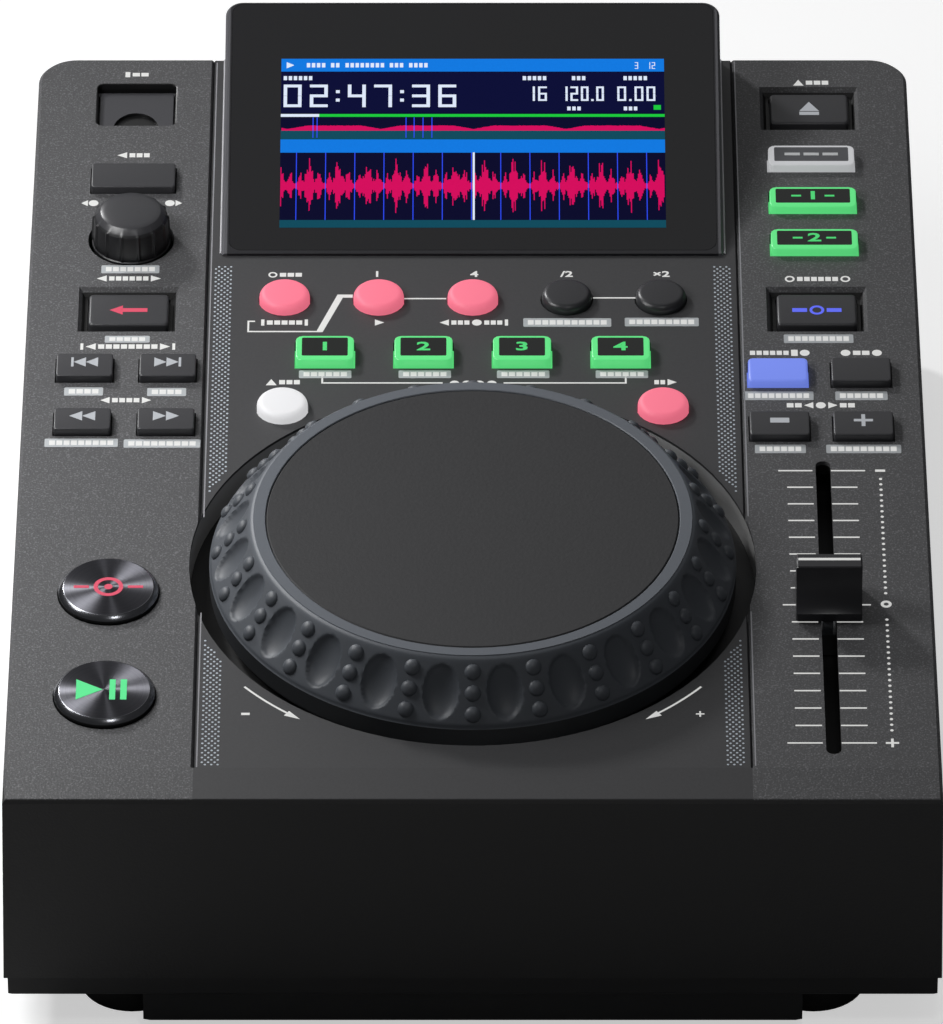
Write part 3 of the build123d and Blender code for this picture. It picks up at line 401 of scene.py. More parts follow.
# ---- Panel prints: legends ---------------------------------------------------------------
# White screen-printed signs name the controls, and pale bars with white marks show their
# second use. All are thin plates of ink; the signs are plain shapes, not words.
INK_DEEP = 0.01                      # how far a print reaches into the surface
WORD_PITCH, WORD_GAP, WORD_LOW = 1.75, 0.35, 0.68


def plate(bm, points, n, thick=INK_T):
    """A thin flat plate with the given outline, standing on the surface at height n."""
    skin_levels(bm, [at_height(points, n - INK_DEEP), at_height(points, n + thick)])


def ring_plate(bm, u, f, n, outer, inner, sides=28, start=0.0, sweep=math.tau):
    """A flat ring, or a stretch of one, standing on the surface at height n."""
    whole = sweep >= math.tau
    steps = [start + sweep * k / sides for k in range(sides if whole else sides + 1)]
    low, high = n - INK_DEEP, n + INK_T
    loops = [
        [bm.verts.new((u + radius * math.cos(a), f + radius * math.sin(a), height)) for a in steps]
        for radius, height in ((outer, low), (outer, high), (inner, high), (inner, low))
    ]
    last = len(steps) if whole else len(steps) - 1
    for first, second in zip(loops, loops[1:] + loops[:1]):
        for k in range(last):
            after = (k + 1) % len(steps)
            bm.faces.new((first[k], first[after], second[after], second[k]))
    if not whole:
        for end in (0, -1):
            bm.faces.new([loop[end] for loop in loops])


def sign(bm, kind, u, f, n, width, height):
    """One sign in a box of that width and height about (u, f)."""
    w, h = width / 2, height / 2
    arm, dash = 0.2 * w, 0.4 * h
    shapes = {
        "left": [(-w, 0), (w, -h), (w, h)],
        "right": [(w, 0), (-w, h), (-w, -h)],
        "up": [(0, h), (-w, -h), (w, -h)],
        "bar": oblong(-w, -dash, w, dash),
        "post": oblong(-w, -h, w, h),
        "plus": [
            (arm, h), (-arm, h), (-arm, arm), (-w, arm), (-w, -arm), (-arm, -arm),
            (-arm, -h), (arm, -h), (arm, -arm), (w, -arm), (w, arm), (arm, arm),
        ],
        "dot": [(x, y) for x, y, _ in circle(h, 0, 16)],
    }
    if kind == "ring":
        ring_plate(bm, u, f, n, h, 0.62 * h)
    elif kind == "words":
        count = max(1, round((width + WORD_GAP) / WORD_PITCH))
        long = (width + WORD_GAP) / count - WORD_GAP
        for k in range(count):
            left = u - w + k * (long + WORD_GAP)
            plate(bm, oblong(left, f - WORD_LOW * h, left + long, f + WORD_LOW * h), n)
    else:
        plate(bm, [(u + x, f + y) for x, y in shapes[kind]], n)


def sign_row(bm, row, u, f, n, height, gap=0.6):
    """Signs side by side, centred on (u, f): each is a kind and its width."""
    total = sum(width for kind, width in row) + gap * (len(row) - 1)
    x = u - total / 2
    for kind, width in row:
        sign(bm, kind, x + width / 2, f, n, width, height)
        x += width + gap


def rounded(u, f, width, depth, radius, steps=3):
    """Points round a rectangle with round corners, anticlockwise."""
    points = []
    for quarter, (a, b) in enumerate(((1, 1), (-1, 1), (-1, -1), (1, -1))):
        for step in range(steps + 1):
            turn = (quarter + step / steps) * math.pi / 2
            points.append((
                u + a * (width / 2 - radius) + radius * math.cos(turn),
                f + b * (depth / 2 - radius) + radius * math.sin(turn),
            ))
    return points


FIGURE_HIGH, FIGURE_BOLD = 0.7, 0.035        # of the type size, and of the figure's own height


def lettering(bm, text, u, f, n, height, widen=1.0):
    """A plain printed numeral of that height about (u, f)."""
    curve = bpy.data.curves.new("numeral", "FONT")
    curve.body, curve.size, curve.resolution_u = text, height / FIGURE_HIGH, 3
    curve.align_x = curve.align_y = "CENTER"
    curve.extrude, curve.offset = INK_T / 2, FIGURE_BOLD * height
    holder = bpy.data.objects.new("numeral", curve)
    bpy.context.scene.collection.objects.link(holder)
    mesh = bpy.data.meshes.new_from_object(holder.evaluated_get(bpy.context.evaluated_depsgraph_get()))
    mesh.transform(Matrix.Translation((u, f, n + INK_T / 2)) @ Matrix.Diagonal((widen, 1, 1, 1)))
    bm.from_mesh(mesh)
    bpy.data.objects.remove(holder)
    bpy.data.meshes.remove(mesh)


def make_piece(name, bm, place, material, body, nodes=(), sharp=35):
    """Makes a mesh drawn in local millimetres a piece, in place of the CAD nodes that it names."""
    bmesh.ops.remove_doubles(bm, verts=bm.verts, dist=1e-4)
    bmesh.ops.recalc_face_normals(bm, faces=bm.faces)
    mesh = bpy.data.meshes.new(name)
    bm.to_mesh(mesh)
    bm.free()
    mesh.transform(place)
    mesh.materials.append(material)
    made = ride_along(name, mesh, body, sharp)
    if nodes:
        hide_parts(*nodes)
    return made


# Both inks are nearly matt. The white one is given a faint glow of painted light, so that
# thin signs stay clear.
white_ink = screen_ink("legend_ink_painted_glow", "f2f2f0", glow=0.5)
chip_ink = screen_ink("second_use_pale_ink", "b6babd")
legends = bmesh.new()
# Each row of signs: its middle, its height, and each sign with its width.
side_signs = [
    (-84.0, 282.4, 2.1, [("post", 1.2), ("words", 4.0)]),
    (-84.1, 248.6, 2.4, [("left", 2.4), ("words", 5.0)]),
    (-94.6, 228.8, 2.4, [("left", 1.6), ("dot", 1.6)]),
    (-73.6, 228.8, 2.4, [("dot", 1.6), ("right", 1.6)]),
    (-84.1, 198.1, 2.4, [("left", 2.4), ("words", 9.6), ("right", 2.4)]),
    (-83.7, 170.8, 2.5, [("post", 0.7), ("left", 2.4), ("words", 14.4), ("right", 2.4), ("post", 0.7)]),
    (-83.7, 149.6, 2.4, [("left", 2.2), ("words", 6.6), ("right", 2.2)]),
    (84.5, 279.0, 2.4, [("up", 2.6), ("words", 5.6)]),
    (84.3, 197.9, 2.4, [("ring", 2.4), ("words", 10.0), ("ring", 2.4)]),
    (74.4, 168.3, 2.4, [("words", 9.4), ("post", 1.6), ("dot", 2.2)]),
    (94.2, 168.3, 2.4, [("dot", 2.4), ("words", 4.0), ("dot", 2.4)]),
    (83.9, 147.6, 2.4, [("words", 3.6), ("left", 2.2), ("dot", 2.4), ("right", 2.2), ("words", 3.6)]),
]
strip_signs = [
    (-45.9, 200.1, 2.2, [("ring", 2.2), ("words", 5.4)]),
    (-45.8, 180.9, 2.4, [("post", 0.8), ("words", 8.6), ("post", 0.8)]),
    (-22.7, 180.9, 2.4, [("right", 2.2)]),
    (0.3, 180.9, 2.4, [("left", 2.2), ("words", 4.4), ("dot", 2.4), ("words", 4.4), ("post", 0.8)]),
    (-45.9, 157.2, 2.4, [("up", 2.6), ("words", 5.0)]),
    (46.6, 157.2, 2.4, [("words", 2.6), ("right", 2.2)]),
    (0.1, 156.6, 2.4, [("dot", 2.4), ("dot", 2.4), ("dot", 2.4), ("dot", 2.4)]),
]
for u, f, height, row in side_signs:
    sign_row(legends, row, u, f, 0, height)
for u, f, height, row in strip_signs:
    sign_row(legends, row, u, f, STRIP_N, height)
NUMERAL_F, NUMERAL_HIGH, NUMERAL_WIDEN = 200.3, 2.2, 1.25
for text, u in (("1", -23.4), ("4", 0.4), ("/2", 23.0), ("×2", 46.1)):
    lettering(legends, text, u, NUMERAL_F, STRIP_N, NUMERAL_HIGH, NUMERAL_WIDEN)

# Thin lines join the loop keys, frame the four hot-cue keys and lead to the first key.
LINE_W = 0.45


def stroke(bm, points, width, n):
    """A line of straight runs, each a thin plate that reaches half its width past its ends."""
    for (u1, f1), (u2, f2) in zip(points, points[1:]):
        along = Vector((u2 - u1, f2 - f1)).normalized() * width / 2
        across = Vector((-along.y, along.x))
        start, end = Vector((u1, f1)) - along, Vector((u2, f2)) + along
        plate(bm, [start - across, end - across, end + across, start + across], n)


for run in (
    [(-53.2, 181.4), (-54.6, 181.4), (-54.6, 177.3), (-37.3, 177.3)],
    [(-16.5, 190.5), (-6.7, 190.5)],
    [(29.6, 190.8), (39.5, 190.8)],
    [(-36.4, 159.3), (-36.4, 156.9), (-7.5, 156.9)],
    [(7.7, 156.9), (37.0, 156.9), (37.0, 159.3)],
):
    stroke(legends, run, LINE_W, STRIP_N)
lead_line = [(-38.1, 177.1), (-36.5, 177.1), (-31.7, 190.9), (-29.3, 190.9), (-29.3, 192.1), (-33.0, 192.1)]
plate(legends, lead_line, STRIP_N)

# Curved arrows either side of the wheel show which way it is turned.
ARROW_R, ARROW_W, ARROW_TURN = 70.2, 0.5, math.radians(13.5)
ARROW_FROM_FRONT = math.radians(36)
TIP_AHEAD, TIP_BEHIND, TIP_OUT, TIP_IN = 1.2, 2.6, 1.1, 0.9
MARK_U, MARK_F, MARK_SIZE = 53.0, 30.9, 2.0
for side, mark in ((-1, "bar"), (1, "plus")):
    start = side * ARROW_FROM_FRONT - math.pi / 2
    ring_plate(
        legends, 0, JOG_F, STRIP_N, ARROW_R + ARROW_W / 2, ARROW_R - ARROW_W / 2, 20, start,
        side * ARROW_TURN,
    )
    tip = Vector((ARROW_R * math.cos(start), JOG_F + ARROW_R * math.sin(start)))
    ahead = Vector((side * math.sin(start), -side * math.cos(start)))
    outward = Vector((math.cos(start), math.sin(start)))
    back = tip - ahead * TIP_BEHIND
    plate(legends, [tip + ahead * TIP_AHEAD, back + outward * TIP_OUT, back - outward * TIP_IN], STRIP_N)
    sign(legends, mark, side * MARK_U, MARK_F, STRIP_N, MARK_SIZE, MARK_SIZE)
make_piece("panel_legends", legends, PANEL, white_ink, "case")

# Each bar: its middle, width and depth.
CHIP_CORNER, CHIP_MARGIN, CHIP_WORDS = 0.35, 2.2, 0.78
chips, chip_words = bmesh.new(), bmesh.new()
side_chips = [
    (-83.8, 201.8, 14.2, 3.2), (-83.9, 173.7, 10.9, 2.7), (-93.95, 153.0, 9.4, 3.2),
    (-73.9, 152.8, 9.4, 3.2), (-94.0, 132.9, 17.6, 3.2), (-74.6, 132.6, 18.4, 3.2),
    (84.0, 173.9, 16.9, 3.4), (73.8, 151.3, 16.9, 3.4), (93.8, 151.3, 12.6, 3.4),
    (73.8, 130.5, 12.2, 3.3), (93.8, 130.5, 18.0, 3.3),
]
strip_chips = [
    (-35.7, 160.3, 12.7, 3.0), (-11.6, 160.3, 12.7, 3.0), (12.2, 160.3, 12.7, 3.0),
    (36.1, 160.3, 12.7, 3.0), (23.0, 180.9, 21.4, 3.4), (46.0, 181.1, 18.0, 3.4),
]
for rows, n in ((side_chips, 0), (strip_chips, STRIP_N)):
    for u, f, width, depth in rows:
        plate(chips, rounded(u, f, width, depth, CHIP_CORNER), n)
        sign(chip_words, "words", u, f, n + INK_T, width - CHIP_MARGIN, CHIP_WORDS * depth)
make_piece("second_use_bars", chips, PANEL, chip_ink, "case")
make_piece("second_use_marks", chip_words, PANEL, white_ink, "case")


# ---- Groove edges ------------------------------------------------------------------------
# A thin pale strip on the right of each groove is a painted highlight, standing in for the
# thin bright line of light that the groove's edge catches. The jog well breaks it in two.
GLINT_W, GLINT_RUNS = 0.3, ((11.5, 68.4), (104.6, 288.0))
# A pale grey for the painted highlight.
groove_glint_paint = moulded_plastic("groove_highlight_paint", "9a9a9e", 0.3)
glints = bmesh.new()
for inner, n in ((-64.18, STRIP_N), (65.42, 0.0)):
    for foot, head in GLINT_RUNS:
        plate(glints, oblong(inner, foot, inner + GLINT_W, head), n)
make_piece("groove_edges", glints, PANEL, groove_glint_paint, "case")


# ---- Tempo scale -------------------------------------------------------------------------
# A scale is screen printed in white along both sides of the fader: seventeen ticks, a
# dotted line with a ring at its middle, a minus at its top and a plus at its foot.
SCALE_U, SCALE_HEAD, SCALE_FOOT = 83.5, 122.1, 19.8
TICKS, TICK_W, TICK_FROM, TICK_TO, LONG_TICK_TO = 17, 0.45, 2.2, 8.4, 10.4
DOTTED_U, SCALE_DOT_R = 97.5, 0.4
DOTTED_RUNS = ((118.9, 75.3, 22), (65.4, 24.4, 21))
SCALE_RING_F, SCALE_RING_R, SCALE_RING_IN = 71.2, 1.3, 0.6
scale_seats, spot_seats = [], []
for tick in range(TICKS):
    f = SCALE_HEAD + (SCALE_FOOT - SCALE_HEAD) * tick / (TICKS - 1)
    reach = LONG_TICK_TO if tick % (TICKS // 2) == 0 else TICK_TO
    for side in (-1, 1):
        u = SCALE_U + side * (TICK_FROM + reach) / 2
        scale_seats.append(panel_seat(u, f, 0, (reach - TICK_FROM, TICK_W, 1)))
tick_plate = skin_levels(bmesh.new(), [at_height(oblong(-0.5, -0.5, 0.5, 0.5), n) for n in (0, INK_T)])
sow("tempo_ticks", tick_plate, scale_seats, white_ink, "case")
for head, foot, count in DOTTED_RUNS:
    for k in range(count):
        spot_seats.append(panel_seat(DOTTED_U, head + (foot - head) * k / (count - 1), 0))
spot = skin_levels(bmesh.new(), [circle(SCALE_DOT_R, n, 10) for n in (0, INK_T)])
sow("tempo_dots", spot, spot_seats, white_ink, "case")
scale_signs = bmesh.new()
ring_plate(scale_signs, DOTTED_U, SCALE_RING_F, 0, SCALE_RING_R, SCALE_RING_IN)
sign(scale_signs, "bar", DOTTED_U, SCALE_HEAD, 0, 2.4, 2.0)
sign(scale_signs, "plus", DOTTED_U, SCALE_FOOT, 0, 3.1, 3.1)
make_piece("tempo_signs", scale_signs, PANEL, white_ink, "case")


# ---- Display hood, window and screen -----------------------------------------------------
# A satin black ABS hood props up the screen, whose front is one pane of smoked acrylic. The
# picture is drawn as glowing shapes on the pane: clock, tempo, overview and waveform.
HOOD_F, HOOD_HALF, HOOD_TILT = 206.6, 61.5, math.radians(14.1)
FLANK_IN, FLANK_FADE, WEAVE_MM = 1.3, 0.15, 0.6
FACE = PANEL @ Matrix.Translation((0, HOOD_F, 0)) @ Matrix.Rotation(HOOD_TILT, 4, "X")
# The hood has a soft sheen, and its coarser flanks are painted a paler grey, as painted
# light where the lamp falls on them; the pane is nearly a mirror.
hood_abs = moulded_plastic("hood_satin_abs", "202024", 0.34, grain_mm=0.6, relief_mm=0.006)
pane_acrylic = moulded_plastic(
    "pane_smoked_acrylic", "141417", 0.08, grain_mm=20, relief_mm=0.002, mottle=0.05
)
tree = hood_abs.node_tree
skin, mottled = tree.nodes["Principled BSDF"], tree.nodes["Mix"]
axes = add_node(tree, "ShaderNodeSeparateXYZ", {0: tree.nodes["Texture Coordinate"].outputs["Object"]})
sideways = add_node(tree, "ShaderNodeMath", {0: axes.outputs["X"]}, operation="ABSOLUTE")
on_flank = add_node(
    tree, "ShaderNodeMapRange",
    {"Value": sideways.outputs[0], "From Min": (HOOD_HALF - FLANK_IN) * MM,
     "From Max": (HOOD_HALF - FLANK_IN + FLANK_FADE) * MM},
)
# The flanks' paler grey is painted light.
flank_tone_and_light = add_node(
    tree, "ShaderNodeMix",
    {0: on_flank.outputs[0], 6: mottled.outputs[2], 7: linear("5a5a5e")}, data_type="RGBA",
)
tree.links.new(flank_tone_and_light.outputs[2], skin.inputs["Base Color"])
dress(hood_abs, "display_hood")

# A bead runs along the foot of each of the hood's flanks; its pale grey is a painted
# highlight.
BEAD_R, BEAD_N = 0.26, STRIP_N + 0.1
BEAD_ENDS = ((HOOD_HALF + 0.3, HOOD_F + 2.0), (HOOD_HALF + 0.62, 289.0))
bead_glint_paint = moulded_plastic("bead_highlight_paint", "c4c4c8", 0.2)
bead = bmesh.new()
for side in (-1, 1):
    skin_levels(bead, [
        [(side * u + x, f, BEAD_N + z) for x, z, _ in circle(BEAD_R, 0, 12)] for u, f in BEAD_ENDS
    ])
make_piece("hood_foot_beads", bead, PANEL, bead_glint_paint, "case")
dress(pane_acrylic, "display_window", "display_module")


def lit(name, hex_colour):
    """A lit patch of the screen, behind gloss."""
    material, tree = new_material(name)
    place = add_node(tree, "ShaderNodeTexCoord").outputs["Object"]
    weave = add_node(tree, "ShaderNodeTexNoise", {"Vector": place, "Scale": 1 / (WEAVE_MM * MM)})
    tone = add_node(
        tree, "ShaderNodeMix",
        {0: weave.outputs["Fac"], 6: shade(hex_colour, 0.94), 7: shade(hex_colour, 1.06)}, data_type="RGBA",
    )
    skin = add_node(
        tree, "ShaderNodeBsdfPrincipled",
        {"Base Color": (0.002, 0.002, 0.002, 1), "Roughness": 0.2, "Emission Color": tone.outputs[2],
         "Emission Strength": 1.0, "Specular IOR Level": 0.05},
    )
    add_node(tree, "ShaderNodeOutputMaterial", {0: skin.outputs[0]})
    return material


LAYER_N = 0.02                       # one layer of the picture over the next


def patch(bm, left, low, right, high, layer):
    """A rectangle on the screen, on its own thin layer above the pane."""
    n = LAYER_N * (1 + layer)
    skin_levels(bm, [at_height(oblong(left, low, right, high), z) for z in (n - LAYER_N / 2, n)])


# Digits of seven bars, as on a clock: which bars each digit lights.
BARS = {
    "0": "abcdef", "1": "bc", "2": "abged", "3": "abgcd", "4": "fgbc", "5": "afgcd", "6": "afgedc",
    "7": "abc", "8": "abcdefg", "9": "abcdfg",
}


def bar_digits(bm, text, x, y, height, layer, widen=0.42, gap=0.13):
    """Digits of bars with their lower left corner at (x, y), and a width and gap by height."""
    wide, thick, step = widen * height, 0.13 * height, gap * height
    middle = height / 2
    places = {
        "a": (0, height - thick, wide, height), "g": (0, middle - thick / 2, wide, middle + thick / 2),
        "d": (0, 0, wide, thick), "f": (0, middle, thick, height), "e": (0, 0, thick, middle),
        "b": (wide - thick, middle, wide, height), "c": (wide - thick, 0, wide, middle),
    }
    for character in text:
        if character in BARS:
            for bar in BARS[character]:
                left, low, right, high = places[bar]
                patch(bm, x + left + 0.04, y + low + 0.04, x + right - 0.04, y + high - 0.04, layer)
            x += wide + step
        else:
            for low in ([0.0] if character == "." else [0.25 * height, 0.62 * height]):
                patch(bm, x, y + low, x + thick, y + low + thick, layer)
            x += thick + step


def screen_piece(name, shapes, finish, hex_colour):
    """Makes lit shapes of one colour a piece of the screen."""
    make_piece(name, shapes, FACE, lit(finish, hex_colour), "case")


# Heights up the pane: foot strip, waveform, blue bar, overview, progress line, clock, title.
LEFT, RIGHT, LCD_LOW, LCD_HIGH = -47.5, 47.5, 9.4, 63.3
WAVE_LOW, WAVE_HIGH, OVERVIEW_LOW, OVERVIEW_BAND = 11.8, 33.2, 37.4, 40.4
PROGRESS_LOW, PROGRESS_HIGH, CLOCK_LOW, CLOCK_HIGH, TITLE_LOW = 44.6, 45.5, 46.0, 59.0, 59.2


def screen_bands(name, finish, hex_colour, layer, *bands):
    """Makes bands right across the screen a piece of it."""
    field = bmesh.new()
    for low, high in bands:
        patch(field, LEFT, low, RIGHT, high, layer)
    screen_piece(name, field, finish, hex_colour)


title_bar, blue_bar = (TITLE_LOW, LCD_HIGH), (WAVE_HIGH, OVERVIEW_LOW)
screen_bands("screen_field", "screen_night_blue", "04042a", 0, (LCD_LOW, LCD_HIGH))
screen_bands("screen_bars", "screen_sky_blue", "0c78e0", 1, title_bar, blue_bar)
screen_bands("screen_clock_field", "screen_clock_navy", "040735", 1, (CLOCK_LOW, CLOCK_HIGH))

# Time, beats, tempo and tempo change are figures of bars; small words are rows of blocks.
CLOCK_FIGURES, TEMPO_FIGURES, TITLE_FIGURES = (47.7, 7.3), (49.7, 4.7), (60.0, 2.2)
LETTER_PITCH, LETTER_W = 1.25, 0.85
TITLE_WORDS, CLOCK_WORDS, FOOT_WORDS = (60.5, 61.9, 3), (56.4, 57.7, 2), (46.7, 47.9, 2)
SPLIT, PLAYHEAD, PLAYHEAD_W = -38.0, 0.0, 0.5
screen_light = bmesh.new()
for text, x, (y, height), layer, widen, gap in (
    ("02:47:36", -46.9, CLOCK_FIGURES, 2, 0.62, 0.27), ("16", 13.2, TEMPO_FIGURES, 2, 0.48, 0.15),
    ("120.0", 21.6, TEMPO_FIGURES, 2, 0.42, 0.13), ("0.00", 35.8, TEMPO_FIGURES, 2, 0.48, 0.15),
    ("3", 40.2, TITLE_FIGURES, 3, 0.42, 0.13), ("12", 43.2, TITLE_FIGURES, 3, 0.42, 0.13),
):
    bar_digits(screen_light, text, x, y, height, layer, widen, gap)
plate(screen_light, [(-46.2, 60.2), (-44.3, 61.2), (-46.2, 62.2)], 0.07, 0.02)
for (low, high, layer), words in (
    (TITLE_WORDS, ((-41.2, 4), (-35.2, 2), (-31.6, 8), (-20.6, 3), (-15.8, 4))),
    (CLOCK_WORDS, ((-46.9, 6), (12.4, 5), (24.6, 3), (37.4, 5))),
    (FOOT_WORDS, ((23.4, 3), (37.4, 3))),
):
    for x, letters in words:
        for k in range(letters):
            left = x + k * LETTER_PITCH
            patch(screen_light, left, low, left + LETTER_W, high, layer)
patch(screen_light, LEFT, PROGRESS_LOW, SPLIT, PROGRESS_HIGH, 3)
patch(screen_light, PLAYHEAD, WAVE_LOW, PLAYHEAD + PLAYHEAD_W, WAVE_HIGH, 5)
screen_piece("screen_characters", screen_light, "screen_pale_blue", "dfeaff")

screen_green = bmesh.new()
patch(screen_green, SPLIT, PROGRESS_LOW, RIGHT, PROGRESS_HIGH, 3)
patch(screen_green, 44.8, 46.9, 46.6, 48.4, 2)
screen_piece("screen_progress", screen_green, "screen_green", "19c93b")

overview_band, foot_strip = (OVERVIEW_LOW, OVERVIEW_BAND), (LCD_LOW, WAVE_LOW)
screen_bands("screen_under_bands", "screen_teal", "0b4a5c", 1, overview_band, foot_strip)

# The waveform is a row of bars with three bursts to each beat; a smooth overview of the
# whole track runs above it.
BEATS, BEAT_PITCH, FIRST_BEAT, BEAT_LINE_W = 13, 7.2, -43.6, 0.22
WAVE_MIDDLE, WAVE_TALL, WAVE_FLOOR, BAR_STEP = 22.6, 10.0, 0.12, 0.26
BURSTS = ((0.34, 0.14, 0.07), (0.8, 0.44, 0.13), (0.44, 0.78, 0.09))      # peak, place, spread
OVERVIEW_FOOT, OVERVIEW_SWELL, OVERVIEW_STEP = 40.3, 7.3, 0.4
CUE_MARKS, CUE_LOW, CUE_HIGH = (-39.6, -38.6, -16.6, -14.6, -12.4, -10.2), 37.9, 44.4
dice = random.Random(7)
screen_wave = bmesh.new()
x = LEFT + 0.1
while x < RIGHT - 0.3:
    since = (x - FIRST_BEAT) % BEAT_PITCH / BEAT_PITCH
    bursts = sum(peak * math.exp(-(((since - middle) / spread) ** 2)) for peak, middle, spread in BURSTS)
    tall = WAVE_TALL * (WAVE_FLOOR + bursts) * dice.choice((0.55, 0.75, 1.0))
    below = tall * dice.uniform(0.85, 1)
    above = tall * dice.uniform(0.85, 1)
    patch(screen_wave, x, WAVE_MIDDLE - below, x + BAR_STEP, WAVE_MIDDLE + above, 2)
    x += BAR_STEP
x = LEFT + 0.2
while x < RIGHT - 0.4:
    tall = 0.35 + 1.1 * min(abs(math.sin(x / OVERVIEW_SWELL)) * 1.6, 1) + dice.uniform(0.0, 0.12)
    patch(screen_wave, x, OVERVIEW_FOOT - 0.1, x + OVERVIEW_STEP, OVERVIEW_FOOT + tall, 2)
    x += OVERVIEW_STEP
screen_piece("screen_waveform", screen_wave, "screen_crimson", "d4065c")

screen_marks = bmesh.new()
for beat in range(BEATS):
    x = FIRST_BEAT + beat * BEAT_PITCH
    patch(screen_marks, x, WAVE_LOW, x + BEAT_LINE_W, WAVE_HIGH, 4)
for x in CUE_MARKS:
    patch(screen_marks, x, CUE_LOW, x + BEAT_LINE_W, CUE_HIGH, 4)
screen_piece("screen_beat_lines", screen_marks, "screen_line_blue", "2f4dff")


# ---- Flat keys ---------------------------------------------------------------------------
# Nine plain push keys, eight of satin charcoal ABS and one of clear blue acrylic, each a cap
# with soft edges on a flange and a stem. Their signs are printed in pale grey, given a faint
# glow of painted light.
FLANGE_TOP, FLANGE_LOW, STEM_END = -3.1, -4.3, -5.6
STEM_W, STEM_CORNER, KEY_RISE, FLANGE_LIP = 3, 0.3, 2.0, 1.15
FLAT_CORNER, FLAT_EDGE, SOFT_CORNER, SOFT_EDGE = 0.7, 0.4, 1.0, 0.7
LOCK_F, LOCK_W, LOCK_L = 159.4, 14.4, 9.3
COLUMN_U, PAIR_U = 83.85, 10.05


def cap_levels(u, f, width, depth, top, corner, edge, steps=3):
    """Outlines up a keycap from its stem to its softly rounded top."""
    flange_w, flange_d = width + 2 * FLANGE_LIP, depth + 2 * FLANGE_LIP
    sizes = [
        (STEM_END, STEM_W, STEM_W, STEM_CORNER), (FLANGE_LOW, STEM_W, STEM_W, STEM_CORNER),
        (FLANGE_LOW, flange_w, flange_d, corner), (FLANGE_TOP, flange_w, flange_d, corner),
        (FLANGE_TOP, width, depth, corner),
    ]
    for step in range(6):
        turn = step / 5 * math.pi / 2
        draw_in = edge * (1 - math.cos(turn))
        sizes.append((top - edge + edge * math.sin(turn), width - 2 * draw_in, depth - 2 * draw_in, corner))
    return [at_height(rounded(u, f, w, d, min(r, w / 2 - 0.01), steps), n) for n, w, d, r in sizes]


# The caps have a faint grain, which spreads the lamp into a soft sheen along their edges.
key_abs = moulded_plastic("key_charcoal_abs", "38383b", 0.38, grain_mm=0.5, relief_mm=0.006)
# The pale ink's faint glow is painted light.
key_ink = screen_ink("key_sign_ink_painted_glow", "d6dae0", glow=0.3)
back_marks = [("post", 0.6), ("left", 2.9), ("left", 2.9)]
next_marks = [("right", 2.9), ("right", 2.9), ("post", 0.6)]
flat_keys = {
    "back_key": (-COLUMN_U, 237.9, 20.7, 9.9, []),
    "track_back_key": (-COLUMN_U - PAIR_U, 161.2, 13.7, 8.9, back_marks),
    "track_next_key": (-COLUMN_U + PAIR_U, 161.2, 13.7, 8.9, next_marks),
    "search_back_key": (-COLUMN_U - PAIR_U, 140.0, 13.7, 8.4, [("left", 3.1), ("left", 3.1)]),
    "search_next_key": (-COLUMN_U + PAIR_U, 140.0, 13.7, 8.4, [("right", 3.1), ("right", 3.1)]),
    "tempo_tap_key": (COLUMN_U + PAIR_U, 159.4, 14.4, 9.3, []),
    "pitch_minus_key": (COLUMN_U - PAIR_U, 138.3, 14.4, 9.3, [("bar", 4.6)]),
    "pitch_plus_key": (COLUMN_U + PAIR_U, 138.3, 14.4, 9.3, [("plus", 4.6)]),
}
for name, (u, f, width, depth, row) in flat_keys.items():
    cap = skin_levels(bmesh.new(), cap_levels(u, f, width, depth, KEY_RISE, FLAT_CORNER, FLAT_EDGE))
    make_piece(name + "_cap", cap, PANEL, key_abs, name, [name])
    if row:
        print_on = bmesh.new()
        sign_row(print_on, row, u, f + 0.9, KEY_RISE, 3.6 if len(row) > 1 else 4.6, 0.05)
        make_piece(name + "_sign", print_on, PANEL, key_ink, name)

# The blue one is evenly lit from inside.
lock_blue = moulded_plastic("key_lit_blue_acrylic", "7a90f6", 0.35, glow=0.65)
levels = cap_levels(COLUMN_U - PAIR_U, LOCK_F, LOCK_W, LOCK_L, KEY_RISE, SOFT_CORNER, SOFT_EDGE)
cap = skin_levels(bmesh.new(), levels)
make_piece("key_lock_key_cap", cap, PANEL, lock_blue, "key_lock_key", ["key_lock_key"])


# ---- Window keys -------------------------------------------------------------------------
# Seven keys are caps of clear coloured acrylic, lit from inside, with a black window let
# into the top. Four are numbered; the others carry a plain number or three short bars.
HOT_CUE_PITCH, HOT_CUE_F = 23.9, 167.8
WINDOW_DEEP, GLASS_SIDE, GLASS_SHORT, GLASS_BACK, GLASS_CORNER = 0.25, 2.9, 2.5, 0.8, 0.4
GLASS_PLAY, GLASS_UNDER = 0.06, 0.03         # round the glass, and below the cap's top
WINDOW_CORNER, WINDOW_EDGE, WIDE_KEY, SIDE_BAR_U = 1.6, 0.35, 20, 4.1
